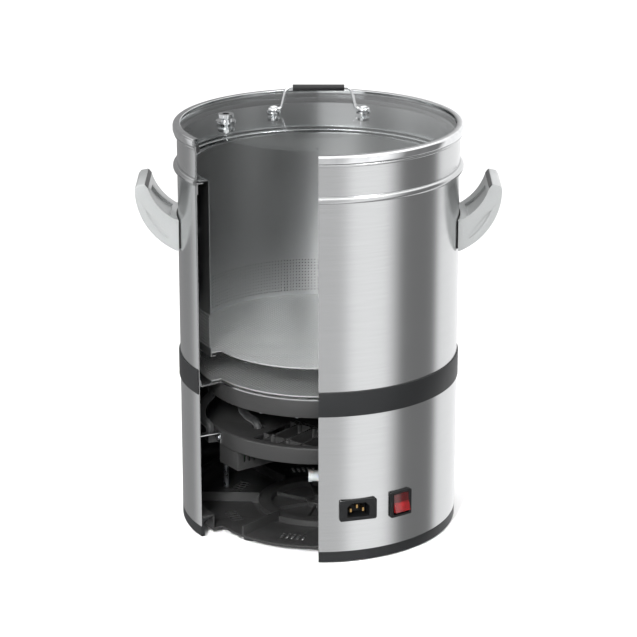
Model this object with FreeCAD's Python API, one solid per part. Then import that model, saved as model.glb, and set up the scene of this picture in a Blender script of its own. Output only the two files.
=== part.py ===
import FreeCAD, Part
import math
import os

# Cut-away display model of a round electric brewing kettle with a glass lid.
# Millimetres. +Z is up, the origin is on the floor under the kettle's axis,
# -Y is the front, and the side handles lie along X.

# Shells
BODY_R = 155.0
POT_WALL = 1.0
JACKET_WALL = 0.9
POT_FLOOR_Z = 177.5
POT_FLOOR_T = 1.5
POT_RIM_Z = 445.0
BEAD_Z = 409.5
BEAD_HEIGHT = 8.0
BEAD_DEPTH = 4.5
JACKET_BOTTOM_Z = 13.2
JACKET_TOP_Z = 177.2
BAND_Z = (169.6, 197.3)
BAND_T = 1.5

# Cut-away: a sector of every shell is taken out beyond this radius,
# from the front towards the left
CUT_R = 127.0
CUT_ANGLE = 57.5
FRONT = 270.0

# Loose inner ware
MALT_R = 139.5
MALT_WALL = 0.8
MALT_FLANGE_R = 150.7
MALT_BOTTOM_Z = 213.0
MALT_TOP_Z = 409.8
FALSE_BOTTOM_R = 139.0
FALSE_BOTTOM_Z = 182.0

# Lid
GLASS_TOP_Z = 467.0
GLASS_T = 4.0
GLASS_R = 155.0
DOME_R = 1012.0
LID_RIM_R = 159.3
LID_RIM_Z = (448.9, 457.4)
LID_FOOT_X = 49.0
LID_BAR_Z = 494.0
LID_WIRE_R = 1.75
SLEEVE_R = 3.5
SLEEVE_HALF = 28.0
VENT_AT = (-100.0, -30.0)

# Side handles
HANDLE_HALF_WIDTH = 34.0
HANDLE_GAP = 1.5
HANDLE_SCREW_Z = 337.0
HANDLE_SCREW_ANGLE = 8.0

# Base
RING_Z = (1.0, 13.0)
DISH_Z = (5.5, 8.0)
DISH_R = 140.0
FLANGE_Z = (22.0, 24.2)
SECTORS = 7
SECTOR_STEP = 360.0 / SECTORS
FIRST_RIB = FRONT - 41.5
HUB_RING_R = (54.0, 69.0)
ROD_AT_R = 118.0
ROD_R = 3.0
ROD_SECTORS = (1, 3, 5)
ROD_TURN = 4.0

# Inner decks
HOUSING_R = 126.0
HOUSING_Z = (157.0, 177.2)
DECK_R = 126.0
DECK_Z = (104.0, 122.0)
DECK_T = 2.5
LATTICE_ANGLE = 52.0
LATTICE_AT = (-50.2, -83.7)
LATTICE_PITCH = 20.8
LATTICE_ROW = 47.0

# Control box: its near corner, and the direction of its front face
BOX_CORNER = (-89.0, -85.0)
BOX_ANGLE = 36.0
BOX_LENGTH = 84.0
BOX_WIDTH = 36.0
BOX_Z = (80.0, 103.6)
BOX_WALL = 2.2

# Electrical fittings on the base jacket
INLET_ANGLE = FRONT + 16.0
INLET_Z = 61.0
SWITCH_ANGLE = FRONT + 35.0
SWITCH_Z = 60.0
FITTING_X = BODY_R + 0.05
ROCKER_TILT = 12.0
ROCKER_PIVOT_X = 152.0

GAP = 0.1
UP = FreeCAD.Vector(0, 0, 1)


def vec(x, y, z):
    return FreeCAD.Vector(x, y, z)


def xz(point):
    return FreeCAD.Vector(point[0], 0, point[1])


def disc(radius, z_low, z_high, at=(0.0, 0.0)):
    return Part.makeCylinder(radius, z_high - z_low, vec(at[0], at[1], z_low))


def ring(r_in, r_out, z_low, z_high, at=(0.0, 0.0)):
    hole = disc(r_in, z_low - 1.0, z_high + 1.0, at)
    return disc(r_out, z_low, z_high, at).cut(hole)


def block(x_low, x_high, y_low, y_high, z_low, z_high):
    size = (x_high - x_low, y_high - y_low, z_high - z_low)
    return Part.makeBox(size[0], size[1], size[2], vec(x_low, y_low, z_low))


def rod_x(radius, x_low, x_high, y, z):
    return Part.makeCylinder(radius, x_high - x_low, vec(x_low, y, z), vec(1, 0, 0))


def rod_y(radius, y_low, y_high, x, z):
    return Part.makeCylinder(radius, y_high - y_low, vec(x, y_low, z), vec(0, 1, 0))


def turned_by(shape, angle):
    """Copy of a shape, swung about the kettle's axis."""
    copy = shape.copy()
    copy.rotate(vec(0, 0, 0), UP, angle)
    return copy


def polar(radius, angle):
    turn = math.radians(angle)
    return (radius * math.cos(turn), radius * math.sin(turn))


def joined(shapes):
    return shapes[0].multiFuse(shapes[1:]).removeSplitter()


def group(shapes):
    return Part.makeCompound(shapes)


def profile(points):
    """Closed face in the XZ plane. A step of two points is an arc through the first."""
    edges = []
    last = points[0]
    for step in points[1:] + points[:1]:
        if isinstance(step[0], tuple):
            end = step[1]
            edges.append(Part.Arc(xz(last), xz(step[0]), xz(end)).toShape())
        else:
            end = step
            edges.append(Part.LineSegment(xz(last), xz(end)).toShape())
        last = end
    return Part.Face(Part.Wire(edges))


def turned(points):
    return profile(points).revolve(vec(0, 0, 0), UP, 360)


def cut_tool():
    """The sector that the display model leaves out of every shell."""
    height = 600.0
    wedge = Part.makeCylinder(300.0, height, vec(0, 0, -50), UP, CUT_ANGLE)
    wedge = turned_by(wedge, FRONT - CUT_ANGLE)
    return wedge.cut(disc(CUT_R, -60.0, height))


CUT_TOOL = cut_tool()


def cut_open(shape):
    return shape.cut(CUT_TOOL)


def rounded_path(points):
    """Straight runs joined by tangent arcs as large as the shorter run allows."""
    edges = []
    start = points[0]
    for before, corner, after in zip(points, points[1:], points[2:]):
        run_in = corner - before
        run_out = after - corner
        turn = run_in.getAngle(run_out)
        reach = 0.45 * min(run_in.Length, run_out.Length)
        entry = corner - run_in.normalize() * reach
        leave = corner + run_out.normalize() * reach
        radius = reach / math.tan(turn / 2.0)
        inward = (run_out - run_in).normalize()
        middle = corner + inward * (radius / math.cos(turn / 2.0) - radius)
        edges.append(Part.LineSegment(start, entry).toShape())
        edges.append(Part.Arc(entry, middle, leave).toShape())
        start = leave
    edges.append(Part.LineSegment(start, points[-1]).toShape())
    return Part.Wire(edges)


def tube(route, radius):
    """Round tube along a route of (x, y, z) points."""
    points = [vec(*point) for point in route]
    path = rounded_path(points)
    first_run = points[1] - points[0]
    section = Part.Wire(Part.makeCircle(radius, points[0], first_run))
    solid = path.makePipeShell([section], True, False)
    return Part.Solid(solid)


# Outer shells

def pot_wall():
    """Rolled steel wall with a pressed bead and a rolled rim."""
    inner = BODY_R - POT_WALL
    half = BEAD_HEIGHT / 2.0
    shell = turned([
        (inner, POT_FLOOR_Z), (BODY_R, POT_FLOOR_Z), (BODY_R, BEAD_Z - half),
        ((BODY_R + BEAD_DEPTH, BEAD_Z), (BODY_R, BEAD_Z + half)),
        (BODY_R, POT_RIM_Z), (BODY_R + 1.2, POT_RIM_Z),
        ((BODY_R + 3.0, POT_RIM_Z + 1.8), (BODY_R + 1.2, POT_RIM_Z + 3.6)),
        (inner, POT_RIM_Z + 3.6),
        (inner, BEAD_Z + half - 0.5),
        ((inner + BEAD_DEPTH, BEAD_Z), (inner, BEAD_Z - half + 0.5))])
    for angle in handle_screw_angles():
        hole = rod_x(2.5, BODY_R - 10, BODY_R + 10, 0, HANDLE_SCREW_Z)
        shell = shell.cut(turned_by(hole, angle))
    return cut_open(shell)


def pot_floor():
    """Pressed pan welded into the foot of the wall."""
    outer = BODY_R - POT_WALL - GAP
    inner = outer - POT_FLOOR_T
    top = POT_FLOOR_Z + POT_FLOOR_T
    return cut_open(turned([
        (0, POT_FLOOR_Z), (outer - 3, POT_FLOOR_Z),
        ((outer - 0.88, POT_FLOOR_Z + 0.88), (outer, POT_FLOOR_Z + 3)),
        (outer, POT_FLOOR_Z + 8), (inner, POT_FLOOR_Z + 8), (inner, top + 2),
        ((inner - 0.59, top + 0.59), (inner - 2, top)), (0, top)]))


def rest_ring():
    """Ledge welded inside the pot; the malt pipe's flange sits on it."""
    wall = BODY_R - POT_WALL - GAP
    top = MALT_TOP_Z - 1.4
    return cut_open(turned([
        (wall - 1.2, 396), (wall, 396), (wall, top - 3.5), (wall, top),
        (146, top), (146, top - 1.4), (wall - 1.2, top - 1.4)]))


def joint_band():
    inner = BODY_R + GAP
    outer = inner + BAND_T
    low, high = BAND_Z
    return cut_open(turned([
        (inner, low), (outer - 0.6, low), (outer, low + 0.6),
        (outer, high - 0.6), (outer - 0.6, high), (inner, high)]))


def base_jacket():
    inner = BODY_R - JACKET_WALL
    shell = ring(inner, BODY_R, JACKET_BOTTOM_Z, JACKET_TOP_Z)
    inlet_hole = block(140, 170, -18.4, 18.4, INLET_Z - 9.9, INLET_Z + 9.9)
    switch_hole = block(140, 170, -12.3, 12.3, SWITCH_Z - 13.8, SWITCH_Z + 13.8)
    shell = shell.cut(turned_by(inlet_hole, INLET_ANGLE))
    shell = shell.cut(turned_by(switch_hole, SWITCH_ANGLE))
    return cut_open(shell)


def base_ring():
    """Black foot ring: an outer skirt, a tongue inside the jacket and a shelf."""
    shelf = FLANGE_Z[0] - GAP
    inner = BODY_R - JACKET_WALL - 0.6
    shell = turned([
        (150.5, RING_Z[0]), (BODY_R - 1, RING_Z[0]), (BODY_R, RING_Z[0] + 1),
        (BODY_R, RING_Z[1]), (inner, RING_Z[1]), (inner, shelf),
        (143, shelf), (143, shelf - 2.4), (150.5, shelf - 2.4)])
    return cut_open(shell)


# Base plate

def slot_group(angle):
    """Five short slots side by side in one sector of the dish."""
    slots = []
    for step in range(-2, 3):
        y = 6.0 * step
        slots.append(block(97, 111, y - 1.4, y + 1.4, 0, 20))
    return [turned_by(slot, angle) for slot in slots]


def rod_angles():
    """The rods stand just past each sector's middle, clear of the switch's wires."""
    return [FIRST_RIB + SECTOR_STEP * (sector + 0.5) + ROD_TURN for sector in ROD_SECTORS]


def base_plate():
    low, high = DISH_Z
    edge = BODY_R - JACKET_WALL - 0.6
    pieces = [turned([
        (0, low), (DISH_R, low), (DISH_R, FLANGE_Z[0]), (edge, FLANGE_Z[0]),
        (edge, FLANGE_Z[1]), (DISH_R - 2.2, FLANGE_Z[1]), (DISH_R - 2.2, high),
        (76, high), (76, high - 1.2), (0, high - 1.2)])]
    floor = high - 1.2
    pieces.append(ring(HUB_RING_R[0], HUB_RING_R[1], floor, 13.5))
    pieces.append(ring(9, 14, floor, 13))
    for index in range(SECTORS):
        angle = FIRST_RIB + SECTOR_STEP * index
        rib = block(HUB_RING_R[1] - 1, DISH_R - 1, -1.5, 1.5, floor, 19)
        spoke = block(13, HUB_RING_R[0] + 1, -1.2, 1.2, floor, 11)
        pieces.append(turned_by(rib, angle))
        pieces.append(turned_by(spoke, angle + SECTOR_STEP / 2.0))
    plate = joined(pieces)
    for index in range(SECTORS):
        for slot in slot_group(FIRST_RIB + SECTOR_STEP * (index + 0.5)):
            plate = plate.cut(slot)
    for angle in rod_angles():
        plate = plate.cut(disc(ROD_R + 0.3, 0, 30, polar(ROD_AT_R, angle)))
    return cut_open(plate)


def rubber_feet():
    feet = []
    for index in range(SECTORS):
        at = polar(114.0, FIRST_RIB + SECTOR_STEP * index)
        foot = Part.makeCone(8.0, 9.0, DISH_Z[0] - GAP, vec(at[0], at[1], 0))
        feet.append(foot)
    return group(feet)


def tie_rods():
    """Long screws that clamp the base plate and both decks together."""
    rods = []
    for angle in rod_angles():
        at = polar(ROD_AT_R, angle)
        head = disc(5.5, DISH_Z[0] - 3.0, DISH_Z[0] - GAP, at)
        shank = disc(ROD_R, DISH_Z[0] - 1.0, HOUSING_Z[0] + 9.0, at)
        rods.append(head.fuse(shank))
    return group(rods)


def tie_rod_nuts():
    nuts = []
    base = HOUSING_Z[0] + 2.2 + GAP
    for angle in rod_angles():
        at = polar(ROD_AT_R, angle)
        corners = []
        for step in range(7):
            corner = polar(4.6, angle + 60 * step)
            corners.append(vec(at[0] + corner[0], at[1] + corner[1], base))
        hexagon = Part.Face(Part.makePolygon(corners)).extrude(vec(0, 0, 4.5))
        nuts.append(hexagon.cut(disc(ROD_R + 0.02, base - 1, base + 6, at)))
    return group(nuts)


def base_screws():
    """Screws from below, through the foot ring's shelf."""
    screws = []
    shelf = FLANGE_Z[0] - GAP - 2.4
    for index in range(SECTORS):
        angle = FIRST_RIB + SECTOR_STEP * (index + 0.33)
        opened = FRONT - CUT_ANGLE - 2 < angle % 360 < FRONT + 2
        if not opened:
            at = polar(146.5, angle)
            screws.append(disc(2.8, shelf - 2.0, shelf - GAP, at))
    return group(screws)


# Decks inside the base

def heater_housing():
    low, high = HOUSING_Z
    skirt = turned([
        (106, low), (HOUSING_R - 1, low), (HOUSING_R, low + 1), (HOUSING_R, high),
        (HOUSING_R - 3, high), (HOUSING_R - 3, low + 2.2), (106, low + 2.2)])
    for angle in rod_angles():
        skirt = skirt.cut(disc(ROD_R + 0.3, low - 1, low + 4, polar(ROD_AT_R, angle)))
    return skirt


def housing_screws():
    screws = []
    for index in range(18):
        at = polar(121.0, FRONT - 51.0 + 20.0 * index)
        head = disc(2.6, HOUSING_Z[0] - 1.8, HOUSING_Z[0] - GAP, at)
        slot = block(at[0] - 4, at[0] + 4, at[1] - 0.4, at[1] + 0.4, 150, 155.8)
        screws.append(head.cut(slot))
    return group(screws)


def heat_spreader():
    return disc(104, 173.0, POT_FLOOR_Z - GAP)


def heating_element():
    """Tubular element, an open loop with both cold ends turned down."""
    major = 85.0
    minor = 3.9
    z = 169.0
    start = 170.0
    sweep = 340.0
    loop = Part.makeTorus(major, minor, vec(0, 0, 0), UP, -180, 180, sweep)
    loop = turned_by(loop, start)
    loop.translate(vec(0, 0, z))
    pieces = [loop]
    for angle in (start, start + sweep):
        at = polar(major, angle)
        pieces.append(Part.makeSphere(minor, vec(at[0], at[1], z)))
        pieces.append(disc(minor, 156.5, z, at))
    return joined(pieces)


def terminal_block():
    body = block(79, 91, -20, 20, 147.0, 156.4)
    return turned_by(body, 160.0)


def boil_dry_thermostat():
    at = (30.0, 22.0)
    return joined([disc(12, 166, 172.9, at), disc(8, 160, 166, at)])


def temperature_probe():
    at = (-28.0, 30.0)
    return joined([disc(4, 158, 172.9, at), disc(7, 169.5, 172.9, at)])


def lattice_point(along, across):
    """Point of the rib lattice, in its own turned directions."""
    ux, uy = polar(1.0, LATTICE_ANGLE)
    return (LATTICE_AT[0] + along * ux + across * uy,
            LATTICE_AT[1] + along * uy - across * ux)


def lattice_bar(start, end, half_thick):
    """Upright bar between two lattice points."""
    (x0, y0), (x1, y1) = start, end
    length = math.hypot(x1 - x0, y1 - y0)
    bar = block(0, length, -half_thick, half_thick, DECK_Z[0] + 4, DECK_Z[1])
    bar.rotate(vec(0, 0, 0), UP, math.degrees(math.atan2(y1 - y0, x1 - x0)))
    bar.translate(vec(x0, y0, 0))
    return bar


def deck_window():
    """Opening in the deck's front, bounded by its rim."""
    corners = [lattice_point(-70, -12.5), lattice_point(-70, 104),
               lattice_point(52, 104), lattice_point(52, -12.5)]
    corners.append(corners[0])
    outline = Part.makePolygon([vec(x, y, DECK_Z[0] - 1) for x, y in corners])
    prism = Part.Face(outline).extrude(vec(0, 0, 30))
    return prism.common(disc(116.5, DECK_Z[0] - 2, DECK_Z[1] + 2))


def lattice_bosses():
    places = []
    for column in range(5):
        for row in range(2):
            at = lattice_point(LATTICE_ROW * row, LATTICE_PITCH * column)
            if math.hypot(at[0], at[1]) < 108:
                places.append(at)
    return places


def rib_deck():
    low, high = DECK_Z
    skirt = turned([
        (0, high - DECK_T), (DECK_R - 3, high - DECK_T), (DECK_R - 3, low),
        (DECK_R, low), (DECK_R, high - 1), (DECK_R - 1, high), (0, high)])
    window = deck_window()
    bars = []
    for column in range(5):
        across = LATTICE_PITCH * column
        bars.append(lattice_bar(lattice_point(-80, across), lattice_point(60, across), 1.1))
    for row in range(2):
        along = LATTICE_ROW * row
        bars.append(lattice_bar(lattice_point(along, -14), lattice_point(along, 106), 1.1))
    inside = [bar.common(window) for bar in bars]
    bosses = [disc(4.6, low + 4, high, at) for at in lattice_bosses()]
    lug = block(DECK_R - 1.5, DECK_R + 10, -6.5, 6.5, low, 112)
    lug = turned_by(lug, HOSE_LUG_ANGLE)
    deck = joined([skirt.cut(window)] + inside + bosses + [lug])
    for at in lattice_bosses():
        deck = deck.cut(disc(2.0, low, high + 1, at))
    for angle in rod_angles():
        deck = deck.cut(disc(ROD_R + 0.3, low, high + 1, polar(ROD_AT_R, angle)))
    return deck.cut(disc(7.5, low, high + 1, (-67.0, -56.5)))


def deck_screws():
    return group([disc(1.9, DECK_Z[1] - 9, DECK_Z[1] - 1.2, at) for at in lattice_bosses()])


def bracket_angles():
    return [FRONT - 60.5 + 72.0 * index for index in range(5)]


def jacket_brackets():
    """Bent steel tabs that hold the ribbed deck to the jacket."""
    outer = BODY_R - JACKET_WALL - GAP
    inner = DECK_R + GAP
    tab = turned_profile_strip([
        (inner, 106), (inner + 1.3, 106), (inner + 1.3, 117.7), (outer - 1.3, 117.7),
        (outer - 1.3, 100), (outer, 100), (outer, 119), (inner, 119)], 9.0)
    return group([turned_by(tab, angle) for angle in bracket_angles()])


def turned_profile_strip(points, width):
    """Narrow strip of a turned shape, centred on the X axis."""
    strip = block(100, 160, -width / 2.0, width / 2.0, 90, 130)
    return turned(points).common(strip)


def bracket_screws():
    head = rod_x(2.4, DECK_R + 1.4 + GAP, DECK_R + 3.2, 0, 111.5)
    return group([turned_by(head, angle) for angle in bracket_angles()])


# Control box and wiring

def box_shape(length_range, width_range, z_range):
    """Block in the control box's own turned directions."""
    shape = block(length_range[0], length_range[1], width_range[0], width_range[1],
                  z_range[0], z_range[1])
    shape.rotate(vec(0, 0, 0), UP, BOX_ANGLE)
    shape.translate(vec(BOX_CORNER[0], BOX_CORNER[1], 0))
    return shape


def control_box():
    low, high = BOX_Z
    lid = high - 2.4
    outer = box_shape((0, BOX_LENGTH), (0, BOX_WIDTH), (low, lid - GAP))
    inner = box_shape((BOX_WALL, BOX_LENGTH - BOX_WALL),
                      (BOX_WALL, BOX_WIDTH - BOX_WALL), (low + BOX_WALL, high))
    box = outer.cut(inner)
    for index in range(6):
        x = 8.0 + 6.5 * index
        box = box.cut(box_shape((x, x + 2.6), (-1, BOX_WALL + 1), (low + 9, low + 17)))
    return box


def control_box_lid():
    top = BOX_Z[1]
    plate = box_shape((0, BOX_LENGTH), (0, BOX_WIDTH), (top - 2.4, top))
    posts = []
    for along in (50.0, 74.0):
        posts.append(box_shape((along - 4, along + 4), (20, 28), (top - 0.5, DECK_Z[1] - DECK_T - GAP)))
    return joined([plate] + posts)


def control_board():
    low = BOX_Z[0] + BOX_WALL + 4
    board = box_shape((5, BOX_LENGTH - 5), (5, BOX_WIDTH - 5), (low, low + 1.6))
    relay = box_shape((14, 32), (9, 24), (low + 1.6, low + 13))
    triac = box_shape((44, 56), (12, 17), (low + 1.6, low + 12))
    return joined([board, relay, triac])


HOSE_LUG_ANGLE = 203.5
HOSE_ROUTE = [
    (-119.0, -22.0, 156.9), (-119.0, -22.0, 148.0), (-131.0, -30.0, 138.0),
    (-130.5, -44.0, 127.0), (-120.6, -52.4, 121.5), (-120.6, -52.4, 112.1)]
HOSE_R = 4.6

LOOM_ROUTE = [
    (-66.0, -58.0, 103.7), (-66.0, -58.0, 119.0), (-70.0, -53.0, 127.5),
    (-79.0, -38.0, 127.0), (-86.0, -18.0, 127.0), (-87.5, 2.0, 127.5),
    (-85.5, 18.0, 129.5), (-80.2, 29.2, 135.0), (-80.2, 29.2, 146.9)]
LOOM_R = 4.4

WIRE_R = 1.4
WIRE_ROUTES = [
    [(33.0, -115.2, 61.0), (27.0, -101.0, 66.0), (16.0, -90.0, 84.0),
     (-4.0, -72.0, 92.0), (-20.0, -60.0, 91.0), (-31.7, -44.9, 90.0)],
    [(68.8, -98.3, 55.0), (60.0, -93.0, 74.0), (46.0, -86.0, 92.0), (30.0, -78.0, 97.0),
     (6.0, -66.0, 94.0), (-16.0, -54.0, 86.0), (-28.4, -42.9, 84.0)],
    [(37.0, -114.1, 57.0), (45.0, -104.0, 52.0), (58.0, -98.0, 56.0),
     (67.4, -99.3, 61.0)]]


def drain_hose():
    return tube(HOSE_ROUTE, HOSE_R)


def heater_loom():
    return tube(LOOM_ROUTE, LOOM_R)


def mains_wires():
    return group([tube(route, WIRE_R) for route in WIRE_ROUTES])


def nozzle_stub():
    y, z = -78.0, 72.0
    outer = joined([rod_x(6.25, -11, 46, y, z), rod_x(6.9, -11, -7, y, z)])
    return outer.cut(rod_x(3.8, -12, 47, y, z))


def nozzle_bracket():
    y, z = -78.0, 72.0
    post = block(31, 43, y - 6, y + 6, DISH_Z[1] + GAP, z - 8)
    saddle = block(29, 45, y - 9, y + 9, z - 9, z + 10)
    return joined([post, saddle]).cut(rod_x(6.35, 20, 60, y, z))


# Electrical fittings

def inlet_housing():
    front = FITTING_X + 2.2
    flange = block(FITTING_X, front, -21, 21, INLET_Z - 12, INLET_Z + 12)
    corners = [edge for edge in flange.Edges if abs(edge.tangentAt(edge.FirstParameter).x) > 0.9]
    flange = flange.makeFillet(2.5, corners)
    body = block(128, FITTING_X, -18, 18, INLET_Z - 9.5, INLET_Z + 9.5)
    socket_points = [(-12.5, -8), (12.5, -8), (12.5, 3.5), (8, 8), (-8, 8), (-12.5, 3.5), (-12.5, -8)]
    outline = [vec(front + 1, y, INLET_Z + z) for y, z in socket_points]
    socket = Part.Face(Part.makePolygon(outline)).extrude(vec(-18, 0, 0))
    return turned_by(joined([flange, body]).cut(socket), INLET_ANGLE)


def blades(places, x_low, x_high, z_centre):
    """Flat brass blades, each 2 wide and 4 tall."""
    shapes = []
    for y, z in places:
        shapes.append(block(x_low, x_high, y - 1, y + 1, z_centre + z - 2, z_centre + z + 2))
    return shapes


def inlet_pins():
    pins = blades([(-7, -2), (0, 2), (7, -2)], 140.3, 151.5, INLET_Z)
    return group([turned_by(pin, INLET_ANGLE) for pin in pins])


def wire_terminals():
    inlet = blades([(-7, -2), (0, 2), (7, -2)], 121.5, 127.9, INLET_Z)
    switch = blades([(-5, -6), (-5, 6), (5, -6), (5, 6)], 121.5, 127.9, SWITCH_Z)
    shapes = [turned_by(blade, INLET_ANGLE) for blade in inlet]
    shapes += [turned_by(blade, SWITCH_ANGLE) for blade in switch]
    return group(shapes)


def switch_bezel():
    front = 158.0
    flange = block(FITTING_X, front, -13.75, 13.75, SWITCH_Z - 14.75, SWITCH_Z + 14.75)
    corners = [edge for edge in flange.Edges if abs(edge.tangentAt(edge.FirstParameter).x) > 0.9]
    flange = flange.makeFillet(2.0, corners)
    body = block(128, FITTING_X, -12, 12, SWITCH_Z - 13.5, SWITCH_Z + 13.5)
    well = block(141, 170, -10.3, 10.3, SWITCH_Z - 12.2, SWITCH_Z + 12.2)
    bezel = joined([flange, body]).cut(well)
    bezel = bezel.cut(rod_y(1.52, -11.9, 11.9, ROCKER_PIVOT_X, SWITCH_Z))
    return turned_by(bezel, SWITCH_ANGLE)


def switch_pin():
    pin = rod_y(1.5, -11.8, 11.8, ROCKER_PIVOT_X, SWITCH_Z)
    return turned_by(pin, SWITCH_ANGLE)


def switch_rocker():
    """Rocker with a shallow V front, at rest with its top pressed in."""
    face = profile([
        (150, SWITCH_Z - 8.4), (160.2, SWITCH_Z - 10.3), (158.4, SWITCH_Z),
        (160.2, SWITCH_Z + 10.3), (150, SWITCH_Z + 8.4), (146, SWITCH_Z + 5),
        (146, SWITCH_Z - 5)])
    body = face.extrude(vec(0, 19.8, 0))
    body.translate(vec(0, -9.9, 0))
    body = body.cut(rod_y(1.56, -12, 12, ROCKER_PIVOT_X, SWITCH_Z))
    body.rotate(vec(ROCKER_PIVOT_X, 0, SWITCH_Z), vec(0, 1, 0), -ROCKER_TILT)
    return turned_by(body, SWITCH_ANGLE)


# Side handles

def handle_screw_angles():
    return [side + turn for side in (0.0, 180.0)
            for turn in (-HANDLE_SCREW_ANGLE, HANDLE_SCREW_ANGLE)]


def handle():
    """Horn-shaped grip on the right; its root follows the pot."""
    face = profile([
        (146, 319), (155.2, 319), ((183.6, 341.0), (199.9, 389)),
        (197.2, 392.8), (189.4, 394.4), (185.5, 389.3),
        ((175.6, 370.5), (158.6, 355.6)), (146, 352)])
    grip = slab(face, -HANDLE_HALF_WIDTH, HANDLE_HALF_WIDTH)
    root = BODY_R + HANDLE_GAP
    grip = grip.cut(disc(root, 300, 400))
    grip = grip.cut(handle_pocket())
    for groove in handle_grooves():
        grip = grip.cut(groove)
    for turn in (-HANDLE_SCREW_ANGLE, HANDLE_SCREW_ANGLE):
        grip = grip.cut(turned_by(rod_x(2.1, 150, 166, 0, HANDLE_SCREW_Z), turn))
    return grip


def slab(face, y_low, y_high):
    """Face of the XZ plane given its thickness along Y."""
    solid = face.extrude(vec(0, y_high - y_low, 0))
    solid.translate(vec(0, y_low, 0))
    return solid


def handle_pocket():
    """Shallow panel sunk into the grip's inner side; its back edge leans forward."""
    back = 21.0
    lean = 29.0
    face = profile([
        (163.8, 354.6), ((177.9, 368.6), (185.6, 381.6)), (178, 389), (152, 372)])
    pocket = slab(face, -HANDLE_HALF_WIDTH + 4.5, back)
    behind = block(140, 200, 0, 60, -20, 60)
    behind.rotate(vec(0, 0, 0), vec(1, 0, 0), lean)
    behind.translate(vec(0, back, 354.6))
    return pocket.cut(behind)


def handle_grooves():
    """Crescent pressed into both flanks near the outer edge."""
    face = profile([
        (165.4, 333.2), ((180.2, 349.2), (188.1, 364.2)), (187.2, 364.8),
        ((175.4, 351.4), (163.9, 334.6))])
    depth = 1.4
    near = slab(face, -HANDLE_HALF_WIDTH - 1.0, -HANDLE_HALF_WIDTH + depth)
    far = slab(face, HANDLE_HALF_WIDTH - depth, HANDLE_HALF_WIDTH + 1.0)
    return [near, far]


def handle_gaskets():
    pads = []
    for side in (0.0, 180.0):
        strip = block(140, 165, -32, 32, 321, 351)
        pad = ring(BODY_R + GAP, BODY_R + HANDLE_GAP - GAP, 320, 352).common(strip)
        for turn in (-HANDLE_SCREW_ANGLE, HANDLE_SCREW_ANGLE):
            pad = pad.cut(turned_by(rod_x(2.5, 150, 160, 0, HANDLE_SCREW_Z), turn))
        pads.append(turned_by(pad, side))
    return group(pads)


def handle_screws():
    screws = []
    wall = BODY_R - POT_WALL
    for angle in handle_screw_angles():
        head = Part.makeCone(3.4, 5.0, 2.6, vec(wall - 3.0, 0, HANDLE_SCREW_Z), vec(1, 0, 0))
        shank = rod_x(2.0, wall - 2.0, 165.5, 0, HANDLE_SCREW_Z)
        screws.append(turned_by(head.fuse(shank), angle))
    return group(screws)


# Loose ware

def false_bottom_plate():
    return cut_open(disc(FALSE_BOTTOM_R, FALSE_BOTTOM_Z, FALSE_BOTTOM_Z + 1.2))


def false_bottom_legs():
    low = POT_FLOOR_Z + POT_FLOOR_T + 0.3
    legs = [disc(4.0, low, FALSE_BOTTOM_Z, polar(112.0, 60.0 * index)) for index in range(6)]
    return group(legs)


def malt_pipe_wall():
    return cut_open(ring(MALT_R - MALT_WALL, MALT_R, MALT_BOTTOM_Z, MALT_TOP_Z - 1.0))


def malt_pipe_flange():
    top = MALT_TOP_Z
    return cut_open(turned([
        (MALT_R - MALT_WALL, top - 1.0), (MALT_FLANGE_R, top - 1.0),
        (MALT_FLANGE_R, top), (MALT_R - MALT_WALL, top)]))


def malt_pipe_bottom():
    radius = MALT_R - MALT_WALL - GAP
    return cut_open(disc(radius, MALT_BOTTOM_Z + 1.0, MALT_BOTTOM_Z + 2.2))


def malt_pipe_hoop():
    """Edge hoop round the foot of the malt pipe."""
    low = MALT_BOTTOM_Z - 3.0
    return cut_open(turned([
        (MALT_R - 6, low), (MALT_R, low), (MALT_R, MALT_BOTTOM_Z - GAP),
        (MALT_R - 1.2, MALT_BOTTOM_Z - GAP), (MALT_R - 1.2, low + 1.2),
        (MALT_R - 6, low + 1.2)]))


# Lid

def dome_drop(radius):
    return DOME_R - math.sqrt(DOME_R ** 2 - radius ** 2)


def dome_point(radius, top_z):
    return (radius, top_z - dome_drop(radius))


def lid_glass():
    top = GLASS_TOP_Z
    low = GLASS_TOP_Z - GLASS_T
    half = GLASS_R / 2.0
    glass = turned([
        (0, low), (dome_point(half, low), dome_point(GLASS_R, low)),
        dome_point(GLASS_R, top), (dome_point(half, top), (0, top))])
    for x in (-LID_FOOT_X, LID_FOOT_X):
        glass = glass.cut(disc(3.0, low - 10, top + 10, (x, 0)))
    glass = glass.cut(disc(6.3, low - 20, top + 10, VENT_AT))
    return cut_open(glass)


def lid_rim():
    """Rolled steel channel round the edge of the glass."""
    low, high = LID_RIM_Z
    outer = LID_RIM_R
    return cut_open(turned([
        (154.2, low), (outer - 1.5, low),
        ((outer - 0.44, low + 0.44), (outer, low + 1.5)),
        (outer, high - 3), ((outer - 0.88, high - 0.88), (outer - 3, high)),
        (151, high), (151, high - 1), (GLASS_R + 0.6, high - 1),
        (GLASS_R + 0.6, low + 1), (154.2, low + 1)]))


def lid_seal():
    inner_wall = BODY_R - POT_WALL
    return cut_open(turned([
        (150.6, 442), (inner_wall - 0.5, 442), (inner_wall - 0.5, 450.4),
        (151.2, 451.0), (150.6, 450.4)]))


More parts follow.
